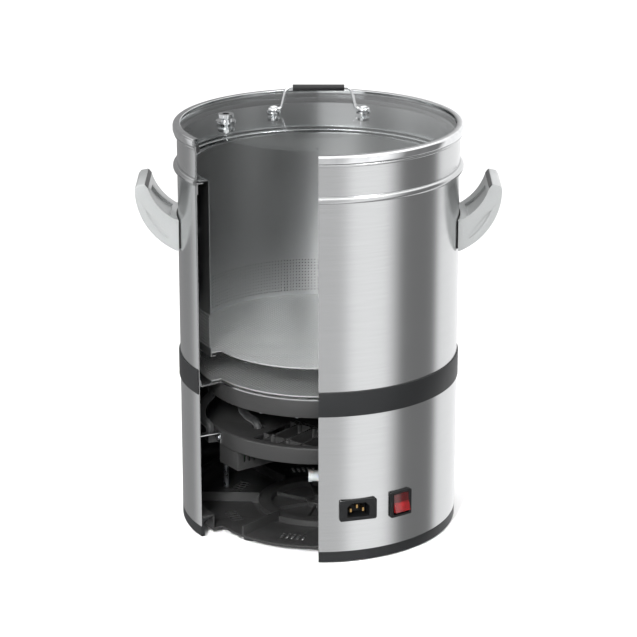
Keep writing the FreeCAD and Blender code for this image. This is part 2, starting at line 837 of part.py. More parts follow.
def lid_handle_wire():
    """Bent wire grip with an eye at each foot."""
    foot_z = 470.2
    route = [
        (-LID_FOOT_X + 3.5, 0, foot_z), (-LID_FOOT_X + 8.5, 0, foot_z + 1.2),
        (-35.0, 0, LID_BAR_Z), (35.0, 0, LID_BAR_Z),
        (LID_FOOT_X - 8.5, 0, foot_z + 1.2), (LID_FOOT_X - 3.5, 0, foot_z)]
    pieces = [lid_wire_tube(route)]
    for x in (-LID_FOOT_X, LID_FOOT_X):
        eye = Part.makeTorus(4.8, LID_WIRE_R, vec(x, 0, foot_z))
        pieces.append(eye)
    return joined(pieces)


def lid_wire_tube(route):
    """The grip's bends are tight, all of one radius."""
    radius = 7.0
    points = [vec(*point) for point in route]
    edges = []
    start = points[0]
    for index in (1, 2, 3, 4):
        corner = points[index]
        run_in = (corner - points[index - 1]).normalize()
        run_out = (points[index + 1] - corner).normalize()
        turn = run_in.getAngle(run_out)
        bend = radius if index in (2, 3) else 4.0
        reach = bend * math.tan(turn / 2.0)
        inward = (run_out - run_in).normalize()
        middle = corner + inward * (bend / math.cos(turn / 2.0) - bend)
        edges.append(Part.LineSegment(start, corner - run_in * reach).toShape())
        edges.append(Part.Arc(corner - run_in * reach, middle, corner + run_out * reach).toShape())
        start = corner + run_out * reach
    edges.append(Part.LineSegment(start, points[-1]).toShape())
    section = Part.Wire(Part.makeCircle(LID_WIRE_R, points[0], points[1] - points[0]))
    return Part.Solid(Part.Wire(edges).makePipeShell([section], True, False))


def lid_handle_sleeve():
    sleeve = rod_x(SLEEVE_R, -SLEEVE_HALF, SLEEVE_HALF, 0, LID_BAR_Z)
    sleeve = sleeve.makeFillet(0.8, [sleeve.Edges[0], sleeve.Edges[2]])
    return sleeve.cut(rod_x(LID_WIRE_R + 0.05, -40, 40, 0, LID_BAR_Z))


def lid_handle_bolts():
    """Screws down through the wire's eyes and the glass."""
    bolts = []
    for x in (-LID_FOOT_X, LID_FOOT_X):
        shank = disc(2.6, 457, 472.5, (x, 0))
        head = Part.makeSphere(7.0, vec(x, 0, 467.2))
        head = head.common(disc(4.4, 472.1, 476, (x, 0)))
        bolts.append(joined([shank, head]))
    return group(bolts)


def lid_handle_washers():
    """One washer above and one nut below the glass at each foot."""
    drop = dome_drop(LID_FOOT_X + 8)
    pieces = []
    for x in (-LID_FOOT_X, LID_FOOT_X):
        top = GLASS_TOP_Z - dome_drop(LID_FOOT_X - 8) + 0.05
        pieces.append(ring(2.7, 7.8, top, 468.3, (x, 0)))
        below = GLASS_TOP_Z - GLASS_T - drop - 0.05
        pieces.append(ring(2.65, 6.5, below - 3.0, below, (x, 0)))
    return group(pieces)


def vent_eyelet():
    """Chrome vent bush through the glass, with a raised collar."""
    radius = math.hypot(VENT_AT[0], VENT_AT[1])
    top = GLASS_TOP_Z - dome_drop(radius - 11) + 0.1
    low = GLASS_TOP_Z - GLASS_T - dome_drop(radius + 9) - 0.1
    at = VENT_AT
    pieces = [ring(3.6, 6.0, low - 4, top + 9, at), ring(3.6, 11.0, top, top + 2.2, at),
              ring(3.6, 8.4, top + 5.6, top + 9.6, at)]
    return joined(pieces)


def vent_nut():
    radius = math.hypot(VENT_AT[0], VENT_AT[1])
    low = GLASS_TOP_Z - GLASS_T - dome_drop(radius + 9) - 0.1
    return ring(6.05, 9.0, low - 3.0, low, VENT_AT)


def make_parts():
    right = handle()
    return {
        "pot_wall": pot_wall(),
        "pot_floor": pot_floor(),
        "rest_ring": rest_ring(),
        "joint_band": joint_band(),
        "base_jacket": base_jacket(),
        "base_ring": base_ring(),
        "base_plate": base_plate(),
        "rubber_feet": rubber_feet(),
        "base_screws": base_screws(),
        "tie_rods": tie_rods(),
        "tie_rod_nuts": tie_rod_nuts(),
        "heater_housing": heater_housing(),
        "housing_screws": housing_screws(),
        "heat_spreader": heat_spreader(),
        "heating_element": heating_element(),
        "terminal_block": terminal_block(),
        "boil_dry_thermostat": boil_dry_thermostat(),
        "temperature_probe": temperature_probe(),
        "rib_deck": rib_deck(),
        "deck_screws": deck_screws(),
        "jacket_brackets": jacket_brackets(),
        "bracket_screws": bracket_screws(),
        "control_box": control_box(),
        "control_box_lid": control_box_lid(),
        "control_board": control_board(),
        "drain_hose": drain_hose(),
        "heater_loom": heater_loom(),
        "mains_wires": mains_wires(),
        "nozzle_stub": nozzle_stub(),
        "nozzle_bracket": nozzle_bracket(),
        "inlet_housing": inlet_housing(),
        "inlet_pins": inlet_pins(),
        "wire_terminals": wire_terminals(),
        "switch_bezel": switch_bezel(),
        "switch_pin": switch_pin(),
        "switch_rocker": switch_rocker(),
        "handle_right": right,
        "handle_left": right.mirror(vec(0, 0, 0), vec(1, 0, 0)),
        "handle_gaskets": handle_gaskets(),
        "handle_screws": handle_screws(),
        "false_bottom_plate": false_bottom_plate(),
        "false_bottom_legs": false_bottom_legs(),
        "malt_pipe_wall": malt_pipe_wall(),
        "malt_pipe_flange": malt_pipe_flange(),
        "malt_pipe_bottom": malt_pipe_bottom(),
        "malt_pipe_hoop": malt_pipe_hoop(),
        "lid_glass": lid_glass(),
        "lid_rim": lid_rim(),
        "lid_seal": lid_seal(),
        "lid_handle_wire": lid_handle_wire(),
        "lid_handle_sleeve": lid_handle_sleeve(),
        "lid_handle_bolts": lid_handle_bolts(),
        "lid_handle_washers": lid_handle_washers(),
        "vent_eyelet": vent_eyelet(),
        "vent_nut": vent_nut(),
    }


os.makedirs("parts", exist_ok=True)
for name, shape in make_parts().items():
    shape.exportStep("parts/" + name + ".step")
    print(name, shape.isValid(), len(shape.Solids), round(shape.Volume / 1000.0, 2))
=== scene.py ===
import math

import bmesh
import bpy
from mathutils import Matrix, Vector


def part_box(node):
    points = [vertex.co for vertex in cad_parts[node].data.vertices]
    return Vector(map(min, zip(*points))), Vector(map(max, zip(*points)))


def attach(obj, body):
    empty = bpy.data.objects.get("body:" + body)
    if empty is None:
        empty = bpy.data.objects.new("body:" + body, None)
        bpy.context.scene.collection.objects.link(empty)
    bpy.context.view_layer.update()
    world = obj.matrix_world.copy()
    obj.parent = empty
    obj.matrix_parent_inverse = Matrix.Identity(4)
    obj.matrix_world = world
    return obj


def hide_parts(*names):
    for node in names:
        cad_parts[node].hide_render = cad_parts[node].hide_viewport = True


bl_info = {
    "name": "Cut-away brewing kettle",
    "version": (1, 0, 0),
    "blender": (4, 5, 0),
    "location": "View3D > Sidebar > Kettle",
    "description": "Builds the finished surfaces of a cut-away electric brewing kettle",
    "category": "Object",
}

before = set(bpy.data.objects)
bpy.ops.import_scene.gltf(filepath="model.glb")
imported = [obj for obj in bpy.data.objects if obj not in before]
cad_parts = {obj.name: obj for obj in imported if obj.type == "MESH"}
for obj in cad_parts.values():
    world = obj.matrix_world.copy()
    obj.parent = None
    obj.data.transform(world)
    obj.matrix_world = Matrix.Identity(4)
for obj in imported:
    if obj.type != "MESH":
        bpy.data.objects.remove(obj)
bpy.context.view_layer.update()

# The display model leaves out one sector of every shell, beyond this radius.
CUT_FROM = 212.5
CUT_TO = 270.0
CUT_SWEEP = CUT_TO - CUT_FROM
SHELL_SWEEP = 360.0 - CUT_SWEEP
STEP_ANGLE = 1.5

# Gap left between two sheets that are fixed to each other, in millimetres
SHEET_GAP = 0.1

# Places of the colour sockets on a Mix node
COLOUR_A = 6
COLOUR_B = 7
COLOUR_OUT = 2


# Units, boxes and colours

def mm(value):
    """Millimetres as metres."""
    return value / 1000.0


def in_mm(value):
    """Metres as millimetres."""
    return value * 1000.0


def reach(node):
    """Outer radius and height range of a node turned about the kettle's axis."""
    low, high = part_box(node)
    return high.x, low.z, high.z


def reach_mm(node):
    """The same reach in millimetres."""
    return tuple(in_mm(value) for value in reach(node))


def linear(code):
    """Linear RGBA from an sRGB hex code."""
    channels = [int(code[i:i + 2], 16) / 255.0 for i in (0, 2, 4)]
    return tuple(
        c / 12.92 if c <= 0.04045 else ((c + 0.055) / 1.055) ** 2.4 for c in channels
    ) + (1.0,)


def shaded(colour, factor):
    """A colour made lighter or darker, fully opaque."""
    return tuple(min(1.0, channel * factor) for channel in colour[:3]) + (1.0,)


# What a user would change

def length_property(name, description, default):
    return bpy.props.FloatProperty(
        name=name, description=description, default=default, unit="LENGTH")


def colour_property(name, description, code):
    return bpy.props.FloatVectorProperty(
        name=name, description=description, default=linear(code), size=4,
        min=0.0, max=1.0, subtype="COLOR")


class KettleSizes(bpy.types.PropertyGroup):
    """Sizes that the frame doesn't state."""

    body_radius: length_property(
        "Body radius", "Outside radius of the pot and the base jacket", reach("base_jacket")[0])
    pot_wall: length_property("Pot wall", "Sheet thickness of the pot", mm(1.0))
    malt_wall: length_property("Malt pipe wall", "Sheet thickness of the malt pipe", mm(0.8))
    bead_height: length_property(
        "Bead height", "Height of the bead pressed round the pot", mm(8.0))
    bead_depth: length_property("Bead depth", "How far the bead stands out", mm(4.5))
    hole_pitch: length_property(
        "Hole pitch", "Distance between the holes of the flat plates", mm(4.3))
    hole_diameter: length_property(
        "Hole diameter", "Diameter of one hole of the flat plates", mm(1.8))
    wall_hole_pitch: length_property(
        "Wall hole pitch", "Distance between the holes of the malt pipe's wall", mm(3.6))
    wall_hole_diameter: length_property(
        "Wall hole diameter", "Diameter of one hole of the malt pipe's wall", mm(1.4))
    cut_radius: length_property(
        "Cut radius", "Radius beyond which the sector is cut out", mm(127.0))
    grip_edge: length_property("Grip edge", "Radius on the edges of the side handles", mm(1.2))


class KettleColours(bpy.types.PropertyGroup):
    """Main colours of the finishes."""

    steel: colour_property("Steel", "Brushed stainless steel", "C6C7C7")
    steel_dark: colour_property("Steel grain", "Troughs of the brushed grain", "C2C3C3")
    black_plastic: colour_property("Black plastic", "Moulded base parts", "232323")
    grey_plastic: colour_property("Grey plastic", "Side handles", "A3A5A5")
    rubber: colour_property("Rubber", "Seals and feet", "101112")
    rocker: colour_property("Rocker", "Translucent red switch", "6E0A0E")
    glass: colour_property("Glass", "Lid glass", "F8F9F9")


# Nodes and materials

def add(tree, kind, values=None, links=None, **settings):
    """Add a node with its settings, its socket values and its incoming links."""
    node = tree.nodes.new(kind)
    for key, value in settings.items():
        setattr(node, key, value)
    for socket, value in (values or {}).items():
        node.inputs[socket].default_value = value
    for socket, source in (links or {}).items():
        tree.links.new(source, node.inputs[socket])
    return node


def new_material(name):
    material = bpy.data.materials.new(name)
    material.use_nodes = True
    tree = material.node_tree
    tree.nodes.clear()
    shader = add(tree, "ShaderNodeBsdfPrincipled")
    add(tree, "ShaderNodeOutputMaterial", links={"Surface": shader.outputs["BSDF"]})
    return material, tree, shader


def grain(tree, size, stretch=(1.0, 1.0, 1.0), detail=3.0):
    """Noise whose features are about one size across, on object coordinates."""
    place = add(tree, "ShaderNodeTexCoord")
    turn = add(tree, "ShaderNodeMapping", {"Scale": stretch},
               {"Vector": place.outputs["Object"]})
    return add(tree, "ShaderNodeTexNoise", {"Scale": 1.0 / size, "Detail": detail},
               {"Vector": turn.outputs["Vector"]}).outputs["Fac"]


def spread(tree, source, low, high):
    """Turns the middle of a noise into a range of numbers."""
    return add(tree, "ShaderNodeMapRange",
               {"From Min": 0.3, "From Max": 0.7, "To Min": low, "To Max": high},
               {"Value": source}).outputs["Result"]


def surface(name, colours, fine, coarse, roughness, depth, stretch=(1.0, 1.0, 1.0), **fixed):
    """A finish of two noises: a fine one for grain and relief, a coarse one for handling marks.

    A grain under about 0.7 mm wouldn't show, so a finer one is drawn coarser than it really is.
    """
    material, tree, shader = new_material(name)
    fine_noise = grain(tree, fine, stretch)
    coarse_noise = grain(tree, coarse, detail=2.0)
    blend = spread(tree, fine_noise, 0.0, 1.0)
    mix = add(tree, "ShaderNodeMix", {COLOUR_A: colours[0], COLOUR_B: colours[1]},
              {"Factor": blend}, data_type="RGBA")
    both = add(tree, "ShaderNodeMath", {}, {0: fine_noise, 1: coarse_noise}, operation="ADD")
    half = add(tree, "ShaderNodeMath", {1: 0.5}, {0: both.outputs[0]}, operation="MULTIPLY")
    rough = spread(tree, half.outputs[0], roughness[0], roughness[1])
    bump = add(tree, "ShaderNodeBump", {"Strength": 1.0, "Distance": depth},
               {"Height": fine_noise})
    tree.links.new(mix.outputs[COLOUR_OUT], shader.inputs["Base Color"])
    tree.links.new(rough, shader.inputs["Roughness"])
    tree.links.new(bump.outputs["Normal"], shader.inputs["Normal"])
    for socket, value in fixed.items():
        shader.inputs[socket.replace("_", " ")].default_value = value
    return material


def brushed_steel(name, colours, shine):
    """Stainless sheet with a fine brushed grain round the body: long soft streaks.

    The real grain is finer than a tenth of a millimetre, so it is drawn coarser to show.
    """
    along = 0.02
    return surface(name, colours, mm(0.9), mm(60), shine, mm(0.0008),
                   stretch=(along, along, 1.0), Metallic=1.0)


def satin_steel(name, colours, shine):
    """Stainless sheet with an even satin face, as left by the mill."""
    return surface(name, colours, mm(0.7), mm(40), shine, mm(0.002), Metallic=1.0)


def polished_steel(name, code):
    """Bright-rolled or plated metal: a clean mirror with faint wipe marks."""
    colours = (linear(code), linear("E2E3E3"))
    return surface(name, colours, mm(9), mm(30), (0.06, 0.14), mm(0.003), Metallic=1.0)


def moulded_black(name, colour, depth=mm(0.015)):
    """Glass-filled black plastic from a spark-eroded mould: satin, finely pebbled."""
    return surface(name, (colour, shaded(colour, 1.25)), mm(0.9), mm(35), (0.4, 0.52), depth,
                   Specular_IOR_Level=0.3)


def handle_grey(colour):
    """Painted plastic handle: silver grey, satin, under a thin clear coat."""
    return surface("silver_grey_plastic", (colour, shaded(colour, 0.93)),
                   mm(0.7), mm(30), (0.3, 0.4), mm(0.004),
                   Coat_Weight=0.35, Coat_Roughness=0.22)


def black_rubber(colour):
    """Moulded rubber: near black, matt, with a faint bloom."""
    return surface("black_rubber", (colour, shaded(colour, 1.6)), mm(1.5), mm(20),
                   (0.6, 0.75), mm(0.02), Sheen_Weight=0.15, Sheen_Roughness=0.5)


def rocker_red(colour):
    """Tinted clear plastic over a neon lamp: it glows in its lower half, and its upper half is
    painted darker, a painted shade away from the lamp.
    """
    colours = (colour, shaded(colour, 0.8))
    material = surface("translucent_red_plastic", colours, mm(1.5), mm(6), (0.08, 0.16),
                       mm(0.002), Coat_Weight=0.6, Coat_Roughness=0.06)
    tree = material.node_tree
    shader = next(n for n in tree.nodes if n.type == "BSDF_PRINCIPLED")
    low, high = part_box("switch_rocker")
    tall = high.z - low.z
    lamp = Vector(((low.x + high.x) / 2.0, (low.y + high.y) / 2.0, low.z + 0.25 * tall))
    place = add(tree, "ShaderNodeTexCoord")
    level = add(tree, "ShaderNodeSeparateXYZ", links={0: place.outputs["Object"]}).outputs["Z"]
    # Painted shade: above the middle of the key the colour is darkened to a quarter.
    upper = add(tree, "ShaderNodeMapRange",
                {"From Min": low.z + 0.42 * tall, "From Max": low.z + 0.58 * tall},
                {"Value": level}, interpolation_type="SMOOTHSTEP").outputs["Result"]
    tint = shader.inputs["Base Color"].links[0].from_socket
    painted_shade_tint = add(tree, "ShaderNodeMix", {COLOUR_B: shaded(colour, 0.25)},
                      {"Factor": upper, COLOUR_A: tint}, data_type="RGBA")
    tree.links.new(painted_shade_tint.outputs[COLOUR_OUT], shader.inputs["Base Color"])
    away = add(tree, "ShaderNodeVectorMath", {1: lamp}, {0: place.outputs["Object"]},
               operation="DISTANCE")
    glow = add(tree, "ShaderNodeMapRange",
               {"From Min": mm(2.0), "From Max": mm(9.0), "To Min": 0.3, "To Max": 0.0},
               {"Value": away.outputs["Value"]}, interpolation_type="SMOOTHSTEP")
    tree.links.new(glow.outputs["Result"], shader.inputs["Emission Strength"])
    shader.inputs["Emission Color"].default_value = linear("FF4A4A")
    return material


def lid_glass_material(tint):
    """Tempered lid glass: clear, mirroring more at glancing angles, with a few wipe marks.

    Facing is used because it's the same on both sides of a pane that doesn't bend light.
    """
    material, tree, shader = new_material("tempered_clear_glass")
    marks = grain(tree, mm(40), detail=2.0)
    rough = spread(tree, marks, 0.03, 0.07)
    tree.links.new(rough, shader.inputs["Roughness"])
    shader.inputs["Base Color"].default_value = tint
    shader.inputs["Metallic"].default_value = 1.0
    slant = add(tree, "ShaderNodeLayerWeight", {"Blend": 0.5}).outputs["Facing"]
    steep = add(tree, "ShaderNodeMath", {1: 5.0}, {0: slant}, operation="POWER")
    share = add(tree, "ShaderNodeMapRange", {"To Min": 0.02, "To Max": 0.5},
                {"Value": steep.outputs[0]})
    clear = add(tree, "ShaderNodeBsdfTransparent", {"Color": tint})
    pane = add(tree, "ShaderNodeMixShader", links={
        0: share.outputs["Result"], 1: clear.outputs[0], 2: shader.outputs["BSDF"]})
    output = next(n for n in tree.nodes if n.type == "OUTPUT_MATERIAL")
    tree.links.new(pane.outputs[0], output.inputs["Surface"])
    return material


# Finishes that nobody needs to recolour: slot, name, two colours, fine and coarse noise and
# relief depth in millimetres, roughness range, and the other sockets that are set.
METAL = {"Metallic": 1.0}
PLAIN_FINISHES = (
    # Pale grey with a blue cast and a dull mottled shine
    ("zinc_screws", "zinc_plated_steel", "C9CCCF", "B4B8BC", 1.2, 8, 0.01, (0.22, 0.38), METAL),
    # Machined plate: pale, with a dull fine grain
    ("aluminium", "machined_aluminium", "C4C6C8", "B0B3B6", 0.8, 20, 0.01, (0.32, 0.45), METAL),
    # Heater sheath, darkened and tinted by heat
    ("element_steel", "heat_tinted_sheath", "7B6F62", "5D5753", 2.0, 25, 0.01, (0.35, 0.5),
     METAL),
    # Deep green solder mask over a faint glass weave
    ("board_green", "green_circuit_board", "1D5B33", "174B2A", 1.0, 14, 0.01, (0.25, 0.35), {}),
    # Unpainted polyamide, slightly waxy
    ("grey_nozzle", "grey_polyamide", "B9BCBC", "A6A9AA", 1.2, 12, 0.01, (0.3, 0.42),
     {"Subsurface_Weight": 0.1}),
    # Extruded PVC: brown-black, smooth
    ("wire_cover", "pvc_wire_cover", "3A2B22", "2C211B", 2.0, 12, 0.005, (0.35, 0.45), {}),
    # Turned contact pins with a slightly dulled shine
    ("brass", "turned_brass", "A88A5C", "94774A", 0.8, 5, 0.005, (0.18, 0.3), METAL),
    # Silicone sleeve drawn lengthwise: black, satin
    ("silicone", "black_silicone", "0C0C0D", "161617", 1.5, 12, 0.01, (0.3, 0.42),
     {"stretch": (0.1, 1.0, 1.0)}),
)


def plain_finishes():
    """The materials of the table above, by slot."""
    return {
        slot: surface(name, (linear(pale), linear(deep)), mm(fine), mm(coarse), shine,
                      mm(depth), **others)
        for slot, name, pale, deep, fine, coarse, depth, shine, others in PLAIN_FINISHES}


def make_finishes():
    """One material for each slot of the record."""
    colours = bpy.context.scene.kettle_colours
    steel = (tuple(colours.steel), tuple(colours.steel_dark))
    # Painted shade: the malt pipe's steel is the body steel painted a fifth darker, for the dim
    # inside of the pot.
    painted_shade_steel = tuple(shaded(colour, 0.8) for colour in steel)
    return {
        "pot_steel": brushed_steel("brushed_stainless_outer", steel, (0.2, 0.225)),
        "malt_steel": satin_steel("satin_stainless_inner_painted_shade", painted_shade_steel, (0.3, 0.35)),
        "filter_steel": satin_steel("perforated_stainless", steel, (0.42, 0.48)),
        "rim_steel": polished_steel("polished_stainless", "D6D7D8"),
        "black_band": moulded_black("satin_black_band", linear("141516")),
        "black_base_plastic": moulded_black(
            "black_glass_filled_nylon", tuple(colours.black_plastic)),
        "black_fitting_plastic": moulded_black("black_polycarbonate", linear("08090A")),
        "grey_handle_plastic": handle_grey(tuple(colours.grey_plastic)),
        "black_rubber": black_rubber(tuple(colours.rubber)),
        "lid_glass": lid_glass_material(tuple(colours.glass)),
        "chrome": polished_steel("chrome_plate", "C6C9CB"),
        "thermostat_plastic": moulded_black("black_phenolic", linear("241E1B")),
        "red_rocker": rocker_red(tuple(colours.rocker)),
        **plain_finishes(),
    }


# Filled by main before the pieces are built
FINISHES = {}


# Meshes

def new_object(name, mesh):
    obj = bpy.data.objects.new(name, mesh)
    bpy.context.scene.collection.objects.link(obj)
    return obj


def mesh_from(bm, name):
    mesh = bpy.data.meshes.new(name)
    bm.to_mesh(mesh)
    bm.free()
    return mesh


def applied(obj):
    """Turns an object's modifiers into plain mesh."""
    graph = bpy.context.evaluated_depsgraph_get()
    mesh = bpy.data.meshes.new_from_object(obj.evaluated_get(graph))
    obj.modifiers.clear()
    old = obj.data
    obj.data = mesh
    bpy.data.meshes.remove(old)
    return obj


def smoothed(obj, angle=32.0):
    obj.data.shade_smooth()
    obj.data.set_sharp_from_angle(angle=math.radians(angle))
    return obj


def dressed(obj, finish, body, *nodes, slot=None):
    """Gives a finished piece its material and its body, and hides the nodes it stands for."""
    obj.data.materials.clear()
    obj.data.materials.append(FINISHES[finish])
    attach(obj, body)
    if nodes:
        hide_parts(*nodes)
    return obj


def polar(radius, angle):
    turn = math.radians(angle)
    return radius * math.cos(turn), radius * math.sin(turn)


def arc(centre, radius, start, end, count):
    """Points on an arc in a flat outline, both ends included."""
    points = []
    for index in range(count + 1):
        x, y = polar(radius, start + (end - start) * index / count)
        points.append((centre[0] + x, centre[1] + y))
    return points


def box_outline(x_low, x_high, z_low, z_high):
    return [(x_low, z_low), (x_high, z_low), (x_high, z_high), (x_low, z_high)]


def lathe(name, outline, start=CUT_TO, sweep=SHELL_SWEEP, step=STEP_ANGLE):
    """Closed solid from an outline of (radius, height) points turned about the Z axis."""
    whole = sweep >= 360.0
    steps = round(sweep / step)
    bm = bmesh.new()
    rings = []
    for index in range(steps if whole else steps + 1):
        turn = math.radians(start + sweep * index / steps)
        rings.append([bm.verts.new((r * math.cos(turn), r * math.sin(turn), z))
                      for r, z in outline])
    pairs = list(zip(rings, rings[1:]))
    if whole:
        pairs.append((rings[-1], rings[0]))
    for here, there in pairs:
        for index in range(len(outline)):
            after = (index + 1) % len(outline)
            bm.faces.new((here[index], there[index], there[after], here[after]))
    if not whole:
        ends = [bm.faces.new(rings[0]), bm.faces.new(rings[-1])]
        bmesh.ops.triangulate(bm, faces=ends)
    bmesh.ops.remove_doubles(bm, verts=bm.verts, dist=mm(0.002))
    bmesh.ops.recalc_face_normals(bm, faces=bm.faces)
    return new_object(name, mesh_from(bm, name))


def boolean(obj, tool, operation="DIFFERENCE"):
    modifier = obj.modifiers.new("cut", "BOOLEAN")
    modifier.operation = operation
    modifier.solver = "EXACT"
    modifier.object = tool
    applied(obj)
    bpy.data.objects.remove(tool)
    return obj


def sector_cut(obj):
    """Takes the open sector out of a plate that crosses the cut radius."""
    inner = bpy.context.scene.kettle_sizes.cut_radius
    beyond = 0.3
    under = -0.05
    over = 0.6
    sides = box_outline(inner, beyond, under, over)
    return boolean(obj, lathe("sector_tool", sides, CUT_FROM, CUT_SWEEP))


def prism(name, outline, y_low, y_high):
    """Solid between two Y planes, from an outline of (x, z) points."""
    bm = bmesh.new()
    near = [bm.verts.new((x, y_low, z)) for x, z in outline]
    far = [bm.verts.new((x, y_high, z)) for x, z in outline]
    bm.faces.new(near)
    bm.faces.new(far)
    for index in range(len(outline)):
        after = (index + 1) % len(outline)
        bm.faces.new((near[index], near[after], far[after], far[index]))
    bmesh.ops.recalc_face_normals(bm, faces=bm.faces)
    return new_object(name, mesh_from(bm, name))


def bevelled(obj, width, angle=35.0, segments=2):
    modifier = obj.modifiers.new("edges", "BEVEL")
    modifier.width = width
    modifier.segments = segments
    modifier.limit_method = "ANGLE"
    modifier.angle_limit = math.radians(angle)
    modifier.use_clamp_overlap = True
    return smoothed(applied(obj))


def refined(node, name, width):
    """Copy of a CAD node with its facets merged into faces and its edges broken."""
    bm = bmesh.new()
    bm.from_mesh(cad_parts[node].data)
    bmesh.ops.remove_doubles(bm, verts=bm.verts, dist=mm(0.005))
    bmesh.ops.dissolve_limit(bm, angle_limit=math.radians(0.6), verts=bm.verts, edges=bm.edges)
    mesh = mesh_from(bm, name)
    custom = mesh.attributes.get("custom_normal")
    if custom:
        mesh.attributes.remove(custom)
    return bevelled(new_object(name, mesh), width)


def three_point_arc(a, b, c, count):
    """Points on the circle from a through b to c, without a itself."""
    ax, ay = a[0] - c[0], a[1] - c[1]
    bx, by = b[0] - c[0], b[1] - c[1]
    cross = 2.0 * (ax * by - ay * bx)
    a2 = ax * ax + ay * ay
    b2 = bx * bx + by * by
    cx = c[0] + (by * a2 - ay * b2) / cross
    cy = c[1] + (ax * b2 - bx * a2) / cross
    radius = math.hypot(a[0] - cx, a[1] - cy)
    start = math.degrees(math.atan2(a[1] - cy, a[0] - cx))
    end = math.degrees(math.atan2(c[1] - cy, c[0] - cx))
    if cross > 0 and end < start:
        end += 360.0
    if cross < 0 and end > start:
        end -= 360.0
    return arc((cx, cy), radius, start, end, count)[1:]


def outline(steps, count=8):
    """Outline in millimetres made metres; a step of two points is an arc through the first."""
    points = [steps[0]]
    for step in steps[1:]:
        if isinstance(step[0], tuple):
            points += three_point_arc(points[-1], step[0], step[1], count)
        else:
            points.append(step)
    return [(mm(x), mm(z)) for x, z in points]


def corner_middle(radius):
    """How far the middle of a rounded corner lies inside the sharp one, to 0.01 mm."""
    return round(radius * (1.0 - math.sqrt(0.5)), 2)


def low_corner(x, z, radius):
    """Outline steps round a lower outer corner, from its underside to its side."""
    middle = corner_middle(radius)
    return [(x - radius, z), ((x - middle, z + middle), (x, z + radius))]


def high_corner(x, z, radius):
    """Outline steps round an upper outer corner, from its side to its top."""
    middle = corner_middle(radius)
    return [(x, z - radius), ((x - middle, z - middle), (x - radius, z))]


# Geometry Nodes

def new_tree(name, inputs):
    """Geometry tree with named inputs and one geometry output."""
    tree = bpy.data.node_groups.new(name, "GeometryNodeTree")
    tree.interface.new_socket("Geometry", in_out="OUTPUT", socket_type="NodeSocketGeometry")
    for label, kind in inputs:
        tree.interface.new_socket(label, in_out="INPUT", socket_type="NodeSocket" + kind)
    source = add(tree, "NodeGroupInput").outputs
    return tree, source


def end_tree(tree, geometry, finish):
    """Realize Instances, weld, Set Material, out."""
    real = add(tree, "GeometryNodeRealizeInstances", links={"Geometry": geometry})
    weld = add(tree, "GeometryNodeMergeByDistance", {"Distance": mm(0.02)},
               {"Geometry": real.outputs[0]})
    painted = add(tree, "GeometryNodeSetMaterial",
                  links={"Geometry": weld.outputs[0], "Material": finish})
    add(tree, "NodeGroupOutput", links={"Geometry": painted.outputs[0]})


def run_tree(tree, name, values):
    """Runs a tree on an empty mesh, with its inputs set by identifier, and keeps the result."""
    obj = new_object(name, bpy.data.meshes.new(name))
    modifier = obj.modifiers.new("nodes", "NODES")
    modifier.node_group = tree
    for item in tree.interface.items_tree:
        if item.in_out == "INPUT":
            modifier[item.identifier] = values[item.name]
    return applied(obj)


def math_node(tree, operation, a, b):
    """Adds one sum; a and b are numbers or sockets."""
    node = add(tree, "ShaderNodeMath", operation=operation)
    for index, term in enumerate((a, b)):
        if isinstance(term, bpy.types.NodeSocket):
            tree.links.new(term, node.inputs[index])
        else:
            node.inputs[index].default_value = term
    return node.outputs[0]


def on_circle(tree, radius, angle):
    """X and Y of a point on a circle."""
    return [math_node(tree, "MULTIPLY", radius, math_node(tree, wave, angle, 0.0))
            for wave in ("COSINE", "SINE")]


def cell_grid(tree, source, width, height):
    """One point for each cell, in columns and rows that are a cell's size apart."""
    wide, high = (
        math_node(tree, "MULTIPLY", size, math_node(tree, "SUBTRACT", source[count], 1.0))
        for size, count in ((width, "Columns"), (height, "Rows")))
    return add(tree, "GeometryNodeMeshGrid", links={
        "Size X": wide, "Size Y": high,
        "Vertices X": source["Columns"], "Vertices Y": source["Rows"]}).outputs["Mesh"]


def stamped(tree, points, piece, **links):
    """A piece instanced on points."""
    info = add(tree, "GeometryNodeObjectInfo", links={"Object": piece})
    return add(tree, "GeometryNodeInstanceOnPoints", links={
        "Points": points, "Instance": info.outputs["Geometry"], **links}).outputs[0]


